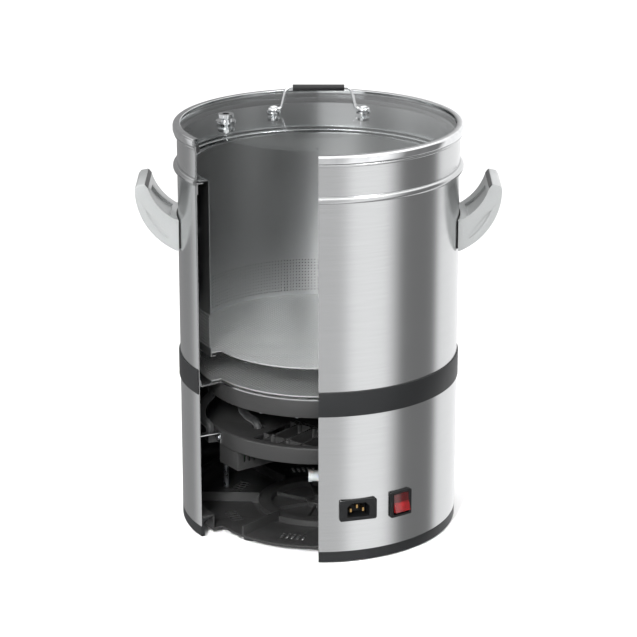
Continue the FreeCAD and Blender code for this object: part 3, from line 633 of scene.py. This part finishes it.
def staggered_holes_tree():
    """Six-sided cells in staggered rows, kept where the plate is."""
    tree, source = new_tree("staggered_holes", [
        ("Cell", "Object"), ("Pitch", "Float"), ("Columns", "Int"), ("Rows", "Int"),
        ("Plate Radius", "Float"), ("Notch Radius", "Float"), ("Notch From", "Float"),
        ("Notch To", "Float"), ("Finish", "Material")])
    row = math_node(tree, "MULTIPLY", source["Pitch"], math.sqrt(0.75))
    grid = cell_grid(tree, source, source["Pitch"], row)
    index = add(tree, "GeometryNodeInputIndex").outputs[0]
    odd = math_node(tree, "MODULO", index, 2.0)
    shift = math_node(tree, "MULTIPLY", odd, math_node(tree, "MULTIPLY", source["Pitch"], 0.5))
    offset = add(tree, "ShaderNodeCombineXYZ", links={"X": shift})
    rows = add(tree, "GeometryNodeSetPosition",
               links={"Geometry": grid, "Offset": offset.outputs[0]})
    spot = add(tree, "GeometryNodeInputPosition").outputs[0]
    length = add(tree, "ShaderNodeVectorMath", links={0: spot}, operation="LENGTH")
    far = length.outputs["Value"]
    parts = add(tree, "ShaderNodeSeparateXYZ", links={0: spot}).outputs
    angle = math_node(tree, "ARCTAN2", parts["Y"], parts["X"])
    outside = math_node(tree, "GREATER_THAN", far, source["Plate Radius"])
    past = math_node(tree, "GREATER_THAN", far, source["Notch Radius"])
    after = math_node(tree, "GREATER_THAN", angle, source["Notch From"])
    before = math_node(tree, "LESS_THAN", angle, source["Notch To"])
    notch = math_node(tree, "MULTIPLY", past, math_node(tree, "MULTIPLY", after, before))
    gone = math_node(tree, "MAXIMUM", outside, notch)
    kept = add(tree, "GeometryNodeDeleteGeometry",
               links={"Geometry": rows.outputs[0], "Selection": gone})
    cells = stamped(tree, kept.outputs[0], source["Cell"])
    end_tree(tree, cells, source["Finish"])
    return tree


def wall_holes_tree():
    """Square cells in straight rows, wrapped round the kettle's axis."""
    tree, source = new_tree("wall_holes", [
        ("Cell", "Object"), ("Cell Width", "Float"), ("Cell Height", "Float"),
        ("Columns", "Int"), ("Rows", "Int"), ("Wall Radius", "Float"),
        ("Middle Angle", "Float"), ("Middle Height", "Float"), ("Finish", "Material")])
    grid = cell_grid(tree, source, source["Cell Width"], source["Cell Height"])
    cells = stamped(tree, grid, source["Cell"])
    real = add(tree, "GeometryNodeRealizeInstances", links={"Geometry": cells})
    spot = add(tree, "GeometryNodeInputPosition").outputs[0]
    parts = add(tree, "ShaderNodeSeparateXYZ", links={0: spot}).outputs
    turn = math_node(tree, "DIVIDE", parts["X"], source["Wall Radius"])
    angle = math_node(tree, "ADD", turn, source["Middle Angle"])
    x, y = on_circle(tree, source["Wall Radius"], angle)
    z = math_node(tree, "ADD", parts["Y"], source["Middle Height"])
    wrapped = add(tree, "ShaderNodeCombineXYZ", links={"X": x, "Y": y, "Z": z})
    moved = add(tree, "GeometryNodeSetPosition",
                links={"Geometry": real.outputs[0], "Position": wrapped.outputs[0]})
    end_tree(tree, moved.outputs[0], source["Finish"])
    return tree


def screw_ring_tree():
    """One screw repeated round a circle, each turned about its own axis."""
    tree, source = new_tree("screw_ring", [
        ("Screw", "Object"), ("Count", "Int"), ("Ring Radius", "Float"),
        ("First Angle", "Float"), ("Height", "Float"), ("Finish", "Material")])
    line = add(tree, "GeometryNodeMeshLine", {"Offset": (0.0, 0.0, 0.0)},
               {"Count": source["Count"]})
    index = add(tree, "GeometryNodeInputIndex").outputs[0]
    step = math_node(tree, "DIVIDE", 2.0 * math.pi, source["Count"])
    angle = math_node(tree, "ADD", source["First Angle"],
                      math_node(tree, "MULTIPLY", index, step))
    x, y = on_circle(tree, source["Ring Radius"], angle)
    place = add(tree, "ShaderNodeCombineXYZ", links={"X": x, "Y": y, "Z": source["Height"]})
    ring = add(tree, "GeometryNodeSetPosition",
               links={"Geometry": line.outputs[0], "Position": place.outputs[0]})
    lean = add(tree, "FunctionNodeRandomValue", {"Max": math.pi, "Seed": 4}, data_type="FLOAT")
    turned = add(tree, "ShaderNodeCombineXYZ", links={"Z": lean.outputs[1]})
    screws = stamped(tree, ring.outputs[0], source["Screw"], Rotation=turned.outputs[0])
    end_tree(tree, screws, source["Finish"])
    return tree


# Perforated ware

def holed_cell(name, corners, hole):
    """Flat cell with a round hole of eight sides."""
    bm = bmesh.new()
    edges = []
    sides = 8
    turn = 360.0 / sides
    rim = [polar(hole / 2.0, turn / 2.0 + turn * index) for index in range(sides)]
    for loop in (corners, rim):
        verts = [bm.verts.new((x, y, 0.0)) for x, y in loop]
        for here, there in zip(verts, verts[1:] + verts[:1]):
            edges.append(bm.edges.new((here, there)))
    bmesh.ops.triangle_fill(bm, use_beauty=True, edges=edges)
    bmesh.ops.recalc_face_normals(bm, faces=bm.faces)
    return new_object(name, mesh_from(bm, name))


def thickened(obj, thickness):
    modifier = obj.modifiers.new("sheet", "SOLIDIFY")
    modifier.thickness = thickness
    modifier.offset = 0.0
    return applied(obj)


def moved(obj, x=0.0, y=0.0, z=0.0):
    """Moves the mesh itself, so that the object stays at the origin."""
    obj.data.transform(Matrix.Translation((x, y, z)))
    return obj


def keyhole_loop(radius, notch, inset):
    """Edge of a plate with the open sector out of it, drawn in by an inset."""
    big = radius - inset
    small = notch - inset
    turn_big = math.degrees(math.asin(inset / big))
    turn_small = math.degrees(math.asin(inset / small))
    sweep_big = SHELL_SWEEP - 2.0 * turn_big
    sweep_small = CUT_SWEEP + 2.0 * turn_small
    far = arc((0.0, 0.0), big, CUT_TO + turn_big, CUT_TO + turn_big + sweep_big, 200)
    near = arc((0.0, 0.0), small, CUT_FROM - turn_small,
               CUT_FROM - turn_small + sweep_small, 40)
    return far + near


def keyhole_frame(name, radius, notch, width, z_low, z_high):
    """Solid border of a perforated plate."""
    bm = bmesh.new()
    loops = []
    for inset, z in ((0.0, z_low), (0.0, z_high), (width, z_high), (width, z_low)):
        loops.append([bm.verts.new((x, y, z)) for x, y in keyhole_loop(radius, notch, inset)])
    for here, there in zip(loops, loops[1:] + loops[:1]):
        for index in range(len(here)):
            after = (index + 1) % len(here)
            bm.faces.new((here[index], here[after], there[after], there[index]))
    bmesh.ops.recalc_face_normals(bm, faces=bm.faces)
    return new_object(name, mesh_from(bm, name))


def joined(name, objects):
    """Joins finished pieces of one body into one mesh."""
    bm = bmesh.new()
    for obj in objects:
        bm.from_mesh(obj.data)
        bpy.data.objects.remove(obj)
    return new_object(name, mesh_from(bm, name))


def perforated_plate(name, node, finish):
    """Round plate with staggered holes and a plain border, cut open like the rest."""
    sizes = bpy.context.scene.kettle_sizes
    radius, low, high = reach(node)
    pitch = sizes.hole_pitch
    border = mm(6.5)
    sheet_share = 0.7
    spare_angle = 1.2
    corner = pitch / math.sqrt(3.0)
    corners = [polar(corner, 30.0 + 60.0 * index) for index in range(6)]
    cell = holed_cell("hole_cell", corners, sizes.hole_diameter)
    columns = int(2.0 * radius / pitch) + 3
    rows = 2 * (int(radius / (pitch * math.sqrt(0.75))) + 2)
    sheet = run_tree(staggered_holes_tree(), name + "_sheet", {
        "Cell": cell, "Pitch": pitch, "Columns": columns, "Rows": rows,
        "Plate Radius": radius - border + corner,
        "Notch Radius": sizes.cut_radius - border + corner,
        "Notch From": math.radians(CUT_FROM - 360.0 - spare_angle),
        "Notch To": math.radians(CUT_TO - 360.0 + spare_angle),
        "Finish": FINISHES[finish]})
    bpy.data.objects.remove(cell)
    thickened(sheet, sheet_share * (high - low))
    moved(sheet, z=(low + high) / 2.0)
    frame_piece = keyhole_frame(name + "_border", radius, sizes.cut_radius, border, low, high)
    return smoothed(joined(name, [sheet, frame_piece]))


def perforated_band(name, z_low, z_high, finish):
    """Rows of holes round the foot of the malt pipe."""
    sizes = bpy.context.scene.kettle_sizes
    radius = reach("malt_pipe_wall")[0] - sizes.malt_wall / 2.0
    edge_angle = 1.0
    sheet_share = 0.8
    sweep = math.radians(SHELL_SWEEP - 2.0 * edge_angle)
    columns = int(sweep * radius / sizes.wall_hole_pitch)
    rows = int((z_high - z_low) / sizes.wall_hole_pitch)
    width = sweep * radius / columns
    height = (z_high - z_low) / rows
    corners = box_outline(-width / 2, width / 2, -height / 2, height / 2)
    cell = holed_cell("wall_cell", corners, sizes.wall_hole_diameter)
    band = run_tree(wall_holes_tree(), name, {
        "Cell": cell, "Cell Width": width, "Cell Height": height,
        "Columns": columns, "Rows": rows, "Wall Radius": radius,
        "Middle Angle": math.radians(CUT_TO + SHELL_SWEEP / 2.0),
        "Middle Height": (z_low + z_high) / 2.0, "Finish": FINISHES[finish]})
    bpy.data.objects.remove(cell)
    return thickened(band, sheet_share * sizes.malt_wall)


# Pieces

class KETTLE_OT_steel_shells(bpy.types.Operator):
    """Pot wall with bead and rolled rim, pot floor, rest ring and base jacket"""

    bl_idname = "kettle.steel_shells"
    bl_label = "Steel shells"

    def execute(self, context):
        sizes = context.scene.kettle_sizes
        outer = in_mm(sizes.body_radius)
        inner = outer - in_mm(sizes.pot_wall)
        self.wall(outer, inner, in_mm(sizes.bead_height) / 2.0, in_mm(sizes.bead_depth))
        self.floor(inner)
        self.rest_ring(inner)
        self.jacket(outer)
        return {"FINISHED"}

    def wall(self, outer, inner, half, depth):
        """Sheet with a pressed bead under its rolled rim."""
        curl = 3.6
        neck = 1.2
        overhang = 3.0
        inner_ease = 0.5
        _, low, high = reach_mm("pot_wall")
        rim = high - curl
        bead = rim - 35.5
        wall = lathe("pot_shell", outline([
            (inner, low), (outer, low), (outer, bead - half),
            ((outer + depth, bead), (outer, bead + half)),
            (outer, rim), (outer + neck, rim),
            ((outer + overhang, rim + curl / 2.0), (outer + neck, rim + curl)),
            (inner, rim + curl), (inner, bead + half - inner_ease),
            ((inner + depth, bead), (inner, bead - half + inner_ease))], 12))
        dressed(smoothed(wall), "pot_steel", "kettle", "pot_wall")

    def floor(self, inner):
        """Pressed pan; its cut edge shows as a thin bright lip."""
        sheet = 1.5
        lip = 8.0
        bend = 2.0
        middle = corner_middle(bend)
        low = reach_mm("pot_floor")[1]
        top = low + sheet
        edge = inner - SHEET_GAP
        inside = edge - sheet
        pan = lathe("pot_pan", outline([
            (0.0, low), *low_corner(edge, low, 3.0),
            (edge, low + lip), (inside, low + lip), (inside, top + bend),
            ((inside - middle, top + middle), (inside - bend, top)), (0.0, top)], 6),
            sweep=360.0)
        dressed(smoothed(sector_cut(pan)), "pot_steel", "kettle", "pot_floor")

    def rest_ring(self, inner):
        """Ledge that carries the malt pipe's flange."""
        upright = 1.2
        shelf = 1.4
        shelf_edge = 146.0
        _, low, top = reach_mm("rest_ring")
        wall = inner - SHEET_GAP
        ring = lathe("malt_pipe_ledge", outline([
            (wall - upright, low), (wall, low), (wall, top), (shelf_edge, top),
            (shelf_edge, top - shelf), (wall - upright, top - shelf)]))
        # The ledge takes the darker inner steel: painted shade inside the pot.
        dressed(smoothed(ring), "malt_steel", "kettle", "rest_ring", slot="pot_steel")

    def jacket(self, outer):
        """Wrapped sheet round the base, with its two window cut-outs."""
        sheet = 0.9
        _, low, high = reach_mm("base_jacket")
        jacket = lathe("base_shell", outline(box_outline(outer - sheet, outer, low, high)))
        for node, half_width in (("inlet_housing", 18.4), ("switch_bezel", 12.3)):
            boolean(jacket, fitting_window(node, half_width))
        dressed(smoothed(jacket), "pot_steel", "kettle", "base_jacket")


def fitting_frame(node):
    """Angle about the kettle's axis and height of an electrical fitting."""
    low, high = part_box(node)
    middle = (low + high) / 2.0
    return math.degrees(math.atan2(middle.y, middle.x)), middle.z


def swung(obj, angle):
    obj.data.transform(Matrix.Rotation(math.radians(angle), 4, "Z"))
    return obj


def fitting_window(node, half_width):
    """Tool that cuts a fitting's opening in the jacket, a little smaller than its flange."""
    overlap = mm(1.6)
    before = mm(140)
    behind = mm(170)
    angle, middle = fitting_frame(node)
    low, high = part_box(node)
    half_height = (high.z - low.z) / 2.0 - overlap
    sides = box_outline(before, behind, middle - half_height, middle + half_height)
    return swung(prism("window_tool", sides, -mm(half_width), mm(half_width)), angle)


class KETTLE_OT_black_rings(bpy.types.Operator):
    """Black joint band between pot and base, and the foot ring"""

    bl_idname = "kettle.black_rings"
    bl_label = "Black rings"

    def execute(self, context):
        outer = in_mm(context.scene.kettle_sizes.body_radius)
        self.joint_band(outer)
        self.foot_ring(outer)
        return {"FINISHED"}

    def joint_band(self, outer):
        rounding = 0.6
        back = outer + SHEET_GAP
        face, low, high = reach_mm("joint_band")
        band = lathe("joint_band_trim", outline([
            (back, low), *low_corner(face, low, rounding), *high_corner(face, high, rounding),
            (back, high)], 4))
        dressed(smoothed(band), "black_band", "kettle", "joint_band")

    def foot_ring(self, outer):
        """Ring under the jacket, with its tongue behind the jacket and its inward shelf."""
        inner = 150.5
        shelf_edge = 143.0
        shelf_sheet = 2.4
        jacket_gap = 0.2
        tongue = outer - 1.5
        _, low, shelf = reach_mm("base_ring")
        top = reach_mm("base_jacket")[1] - jacket_gap
        foot = lathe("foot_ring_trim", outline([
            (inner, low), *low_corner(outer, low, 1.0),
            (outer, top), (tongue, top), (tongue, shelf), (shelf_edge, shelf),
            (shelf_edge, shelf - shelf_sheet), (inner, shelf - shelf_sheet)], 4))
        dressed(smoothed(foot), "black_band", "kettle", "base_ring")


class KETTLE_OT_malt_pipe(bpy.types.Operator):
    """Malt pipe: wall with its perforated foot, flange and perforated bottom"""

    bl_idname = "kettle.malt_pipe"
    bl_label = "Malt pipe"

    def execute(self, context):
        overlap = 1.0
        outer, low, high = reach_mm("malt_pipe_wall")
        inner = outer - in_mm(context.scene.kettle_sizes.malt_wall)
        holes_low = low + 6.0
        holes_high = low + 46.0
        # The wall and its band of holes take the darker inner steel: painted shade inside the
        # malt pipe.
        upper = lathe("malt_wall_upper", outline(
            box_outline(inner, outer, holes_high - overlap, high)))
        lower = lathe("malt_wall_lower", outline(
            box_outline(inner, outer, low, holes_low + overlap)))
        band = perforated_band("malt_wall_band", mm(holes_low), mm(holes_high), "malt_steel")
        wall = smoothed(joined("malt_pipe_shell", [upper, lower, band]))
        dressed(wall, "malt_steel", "malt_pipe", "malt_pipe_wall")
        bottom = perforated_plate("malt_pipe_sieve", "malt_pipe_bottom", "filter_steel")
        dressed(bottom, "filter_steel", "malt_pipe", "malt_pipe_bottom", slot="malt_steel")
        bulge = 0.5
        edge, low, high = reach_mm("malt_pipe_flange")
        flange = lathe("malt_pipe_lip", outline([
            (inner, low), (edge - bulge, low), ((edge, low + bulge), (edge - bulge, high)),
            (inner, high)], 6))
        dressed(smoothed(flange), "rim_steel", "malt_pipe", "malt_pipe_flange",
                slot="malt_steel")
        return {"FINISHED"}


class KETTLE_OT_false_bottom(bpy.types.Operator):
    """Perforated false bottom over the heated floor"""

    bl_idname = "kettle.false_bottom"
    bl_label = "False bottom"

    def execute(self, context):
        plate = perforated_plate("false_bottom_sieve", "false_bottom_plate", "filter_steel")
        dressed(plate, "filter_steel", "false_bottom", "false_bottom_plate")
        return {"FINISHED"}


class KETTLE_OT_lid(bpy.types.Operator):
    """Domed glass lid drilled for the grip and the vent, with its steel rim, seal and grip
    sleeve
    """

    bl_idname = "kettle.lid"
    bl_label = "Glass lid"

    def execute(self, context):
        self.glass()
        self.rim()
        self.seal()
        sleeve = refined("lid_handle_sleeve", "lid_grip_sleeve", mm(0.3))
        dressed(sleeve, "silicone", "lid", "lid_handle_sleeve", slot="black_fitting_plastic")
        return {"FINISHED"}

    def glass(self):
        """Dome of even thickness, drilled for the grip and the vent."""
        thick = 4.0
        dome = 1012.0
        drill_low = 440.0
        drill_high = 490.0
        radius, _, top = reach_mm("lid_glass")
        drop = dome - math.sqrt(dome ** 2 - radius ** 2)
        drop_half = dome - math.sqrt(dome ** 2 - (radius / 2.0) ** 2)
        low = top - thick
        glass = lathe("lid_dome", outline([
            (0.0, low), ((radius / 2.0, low - drop_half), (radius, low - drop)),
            (radius, top - drop), ((radius / 2.0, top - drop_half), (0.0, top))], 16),
            sweep=360.0)
        sector_cut(glass)
        for node, bore in (("lid_handle_bolts", 6.0), ("vent_eyelet", 12.6)):
            for x, y in shaft_places(node):
                sides = box_outline(0.0, bore / 2.0, drill_low, drill_high)
                tool = lathe("drill", outline(sides), sweep=360.0, step=10.0)
                boolean(glass, moved(tool, x, y))
        dressed(smoothed(glass), "lid_glass", "lid", "lid_glass")

    def rim(self):
        """Rolled channel round the glass."""
        foot = 154.2
        inside = 155.6
        hem = 151.5
        sheet = 1.0
        half = sheet / 2.0
        outer, low, high = reach_mm("lid_rim")
        rim = lathe("lid_channel", outline([
            (foot, low), *low_corner(outer, low, 1.5), *high_corner(outer, high, 3.0),
            (hem, high), ((hem - half, high - half), (hem, high - sheet)),
            (inside, high - sheet), (inside, low + sheet), (foot, low + sheet)], 6))
        dressed(smoothed(rim), "rim_steel", "lid", "lid_rim")

    def seal(self):
        inner = 150.6
        edge = 0.6
        outer, low, high = reach_mm("lid_seal")
        seal = lathe("lid_gasket", outline([
            (inner, low), *low_corner(outer, low, edge),
            (outer, high - edge), (inner + edge, high), (inner, high - edge)], 4))
        dressed(smoothed(seal), "black_rubber", "lid", "lid_seal")


def shaft_places(node):
    """Centres of a node's separate upright shafts, one per island of its mesh."""
    bm = bmesh.new()
    bm.from_mesh(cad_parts[node].data)
    bmesh.ops.remove_doubles(bm, verts=bm.verts, dist=mm(0.005))
    places = []
    seen = set()
    for vert in bm.verts:
        if vert in seen:
            continue
        island = {vert}
        queue = [vert]
        while queue:
            for edge in queue.pop().link_edges:
                for other in edge.verts:
                    if other not in island:
                        island.add(other)
                        queue.append(other)
        seen |= island
        xs = [v.co.x for v in island]
        ys = [v.co.y for v in island]
        places.append(((min(xs) + max(xs)) / 2.0, (min(ys) + max(ys)) / 2.0))
    bm.free()
    return places


class KETTLE_OT_side_handles(bpy.types.Operator):
    """Two horn-shaped side handles"""

    bl_idname = "kettle.side_handles"
    bl_label = "Side handles"

    def execute(self, context):
        width = context.scene.kettle_sizes.grip_edge
        for side in ("right", "left"):
            grip = refined("handle_" + side, "side_grip_" + side, width)
            dressed(grip, "grey_handle_plastic", "kettle", "handle_" + side)
            # Each grip gets a painted dark reflection along its tip.
            self.dark_reflection_strip(side, -1.0 if side == "left" else 1.0)
        return {"FINISHED"}

    def dark_reflection_strip(self, side, sign):
        """Black strip along the slope of the tip, the whole length of the grip: a painted dark
        reflection of the dark surroundings in the glossy handle.
        """
        half_length = mm(33.0)
        slope = [(185.9, 390.2), (189.0, 394.0), (188.4, 394.2), (185.3, 390.2)]
        sides = [(sign * mm(x), mm(z)) for x, z in slope]
        strip = prism("tip_inlay_" + side, sides, -half_length, half_length)
        # The painted reflection is dressed in the black rubber finish.
        dressed(strip, "black_rubber", "kettle")


# Node of the frame, with the name, the finish and the edge width in millimetres of its piece
MOULDINGS = {
    "base_plate": ("base_dish", "black_base_plastic", 0.5),
    "heater_housing": ("heater_skirt", "black_base_plastic", 0.5),
    "rib_deck": ("ribbed_deck", "black_base_plastic", 0.4),
    "control_box": ("control_case", "black_base_plastic", 0.5),
    "control_box_lid": ("control_cover", "black_base_plastic", 0.4),
    "nozzle_bracket": ("nozzle_saddle", "black_base_plastic", 0.6),
    "inlet_housing": ("inlet_shell", "black_fitting_plastic", 0.35),
    "switch_bezel": ("switch_surround", "black_fitting_plastic", 0.35),
    "terminal_block": ("terminal_case", "black_base_plastic", 0.5),
    "jacket_brackets": ("bent_tabs", "pot_steel", 0.2),
}


class KETTLE_OT_base_mouldings(bpy.types.Operator):
    """Moulded parts of the base, with their edges broken"""

    bl_idname = "kettle.base_mouldings"
    bl_label = "Base mouldings"

    def execute(self, context):
        for node, (name, finish, width) in MOULDINGS.items():
            piece = refined(node, name, mm(width))
            dressed(piece, finish, "kettle", node)
        return {"FINISHED"}


class KETTLE_OT_switch(bpy.types.Operator):
    """Red rocker of the mains switch"""

    bl_idname = "kettle.switch"
    bl_label = "Mains switch"

    def execute(self, context):
        rocker = refined("switch_rocker", "red_rocker_key", mm(0.5))
        dressed(rocker, "red_rocker", "rocker", "switch_rocker")
        return {"FINISHED"}


def pan_head(name, radius, height):
    """Domed screw head with a cross recess, seen from below."""
    head = lathe(name, [
        (0.0, -height), (radius * 0.45, -height * 0.95), (radius * 0.85, -height * 0.62),
        (radius, -height * 0.2), (radius, 0.0), (0.0, 0.0)], sweep=360.0, step=30.0)
    arm = radius * 0.16
    reach_out = radius * 0.55
    depth = -height * 0.45
    for x, y in ((reach_out, arm), (arm, reach_out)):
        sides = box_outline(-x, x, -2.0 * height, depth)
        boolean(head, prism("cross_tool", sides, -y, y))
    return head


class KETTLE_OT_fasteners(bpy.types.Operator):
    """Screws that repeat round the kettle"""

    bl_idname = "kettle.fasteners"
    bl_label = "Fasteners"

    def execute(self, context):
        head_radius = mm(2.6)
        low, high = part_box("housing_screws")
        places = shaft_places("housing_screws")
        ring = math.hypot(*places[0])
        screw = pan_head("pan_screw", head_radius, high.z - low.z)
        screws = run_tree(screw_ring_tree(), "skirt_screws", {
            "Screw": screw, "Count": len(places), "Ring Radius": ring,
            "First Angle": math.atan2(places[0][1], places[0][0]), "Height": high.z,
            "Finish": FINISHES["zinc_screws"]})
        bpy.data.objects.remove(screw)
        dressed(smoothed(screws), "zinc_screws", "kettle", "housing_screws")
        return {"FINISHED"}


class KETTLE_OT_carried_over(bpy.types.Operator):
    """Gives every part that keeps its design shape its finish"""

    bl_idname = "kettle.carried_over"
    bl_label = "Other parts"

    def execute(self, context):
        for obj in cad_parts.values():
            for place in obj.material_slots:
                name = place.material.name
                if name in FINISHES:
                    place.material = FINISHES[name]
        return {"FINISHED"}


# Stage

# Brightness of the surroundings by degrees to the right of the front
SURROUNDINGS = (
    (-180, 0.24), (-128, 0.24), (-120, 0.62), (-112, 0.62), (-104, 0.6), (-6, 0.6),
    (-1, 0.56), (19, 0.56), (28, 0.95), (56, 0.95), (72, 0.18), (109, 0.18),
    (117, 0.88), (171, 0.88), (180, 0.3))
OVERHEAD = 1.25
WORLD_STRENGTH = 1.38


def studio_world():
    """Soft boxes standing round the kettle, and a broad one overhead."""
    world = bpy.data.worlds.new("studio")
    bpy.context.scene.world = world
    world.use_nodes = True
    tree = world.node_tree
    tree.nodes.clear()
    place = add(tree, "ShaderNodeTexCoord").outputs["Generated"]
    parts = add(tree, "ShaderNodeSeparateXYZ", links={0: place}).outputs
    front = math_node(tree, "MULTIPLY", parts["Y"], -1.0)
    angle = math_node(tree, "ARCTAN2", parts["X"], front)
    around = add(tree, "ShaderNodeMapRange", {"From Min": -math.pi, "From Max": math.pi},
                 {"Value": angle}).outputs["Result"]
    boxes = add(tree, "ShaderNodeValToRGB", links={"Fac": around})
    ramp = boxes.color_ramp
    while len(ramp.elements) < len(SURROUNDINGS):
        ramp.elements.new(0.5)
    for element, (degrees, _) in zip(ramp.elements, SURROUNDINGS):
        element.position = (degrees + 180.0) / 360.0
    for element, (_, value) in zip(ramp.elements, SURROUNDINGS):
        element.color = (value, value, value * 1.01, 1.0)
    height = add(tree, "ShaderNodeMapRange", {"From Min": 0.35, "From Max": 0.75},
                 {"Value": parts["Z"]}, interpolation_type="SMOOTHSTEP").outputs["Result"]
    above = add(tree, "ShaderNodeMix", {COLOUR_B: (OVERHEAD,) * 3 + (1.0,)},
                {"Factor": height, COLOUR_A: boxes.outputs["Color"]}, data_type="RGBA")
    light = add(tree, "ShaderNodeBackground", {"Strength": WORLD_STRENGTH},
                {"Color": above.outputs[COLOUR_OUT]})
    add(tree, "ShaderNodeOutputWorld", links={"Surface": light.outputs[0]})


def soft_lamp(name, place, aim, size, watts, spread_angle=180.0):
    """Square soft box aimed at a point; a smaller spread is a grid over its front."""
    data = bpy.data.lights.new(name, "AREA")
    data.size = size
    data.energy = watts
    data.spread = math.radians(spread_angle)
    lamp = bpy.data.objects.new(name, data)
    bpy.context.scene.collection.objects.link(lamp)
    direction = Vector(aim) - Vector(place)
    lamp.location = place
    lamp.rotation_euler = direction.to_track_quat("-Z", "Y").to_euler()


def pale_floor():
    """Smooth matt studio floor."""
    half = 14.0
    level = -mm(0.3)
    bm = bmesh.new()
    corners = box_outline(-half, half, -half, half)
    bm.faces.new([bm.verts.new((x, y, level)) for x, y in corners])
    floor = new_object("studio_floor", mesh_from(bm, "studio_floor"))
    material = surface("white_matt_floor", (linear("E8E8E8"), linear("E5E5E5")),
                       0.02, 0.6, (0.9, 1.0), 0.0)
    floor.data.materials.append(material)
    floor.visible_glossy = False


def camera():
    """Long lens from the front, looking down at the whole kettle."""
    distance = 2.694
    height = 1.113
    pitch = 18.15
    focal_length = 143.1
    data = bpy.data.cameras.new("camera")
    data.lens = focal_length
    data.sensor_width = 36.0
    data.clip_end = 50.0
    obj = bpy.data.objects.new("camera", data)
    bpy.context.scene.collection.objects.link(obj)
    obj.location = (0.0, -distance, height)
    obj.rotation_euler = (math.radians(90.0 - pitch), 0.0, 0.0)
    bpy.context.scene.camera = obj


class KETTLE_OT_stage(bpy.types.Operator):
    """Floor, studio light and camera"""

    bl_idname = "kettle.stage"
    bl_label = "Stage"

    def execute(self, context):
        context.scene.view_settings.view_transform = "Standard"
        studio_world()
        middle = (0.0, 0.0, 0.25)
        soft_lamp("front_right_box", (1.03, -0.96, 1.9), middle, 0.5, 13.0)
        soft_lamp("front_left_box", (-0.75, -1.5, 0.95), middle, 0.8, 8.0)
        soft_lamp("base_fill", (-0.35, -1.2, 0.85), (-0.05, -0.09, 0.08), 0.35, 0.9, 24.0)
        pale_floor()
        camera()
        return {"FINISHED"}


class KETTLE_PT_pieces(bpy.types.Panel):
    """Lists the sizes, the colours and one button per piece"""

    bl_label = "Brewing kettle"
    bl_idname = "KETTLE_PT_pieces"
    bl_space_type = "VIEW_3D"
    bl_region_type = "UI"
    bl_category = "Kettle"

    def draw(self, context):
        for group in (context.scene.kettle_sizes, context.scene.kettle_colours):
            for name in group.__annotations__:
                self.layout.prop(group, name)
        for operator in OPERATORS:
            self.layout.operator(operator.bl_idname)


OPERATORS = (
    KETTLE_OT_stage, KETTLE_OT_steel_shells, KETTLE_OT_black_rings, KETTLE_OT_malt_pipe,
    KETTLE_OT_false_bottom, KETTLE_OT_lid, KETTLE_OT_side_handles, KETTLE_OT_base_mouldings,
    KETTLE_OT_switch, KETTLE_OT_fasteners, KETTLE_OT_carried_over)
CLASSES = (KettleSizes, KettleColours) + OPERATORS + (KETTLE_PT_pieces,)


def register():
    for cls in CLASSES:
        bpy.utils.register_class(cls)
    bpy.types.Scene.kettle_sizes = bpy.props.PointerProperty(type=KettleSizes)
    bpy.types.Scene.kettle_colours = bpy.props.PointerProperty(type=KettleColours)


def unregister():
    del bpy.types.Scene.kettle_sizes
    del bpy.types.Scene.kettle_colours
    for cls in reversed(CLASSES):
        bpy.utils.unregister_class(cls)


def main():
    register()
    FINISHES.update(make_finishes())
    for operator in OPERATORS:
        group, name = operator.bl_idname.split(".")
        getattr(getattr(bpy.ops, group), name)()


if __name__ == "__main__":
    main()
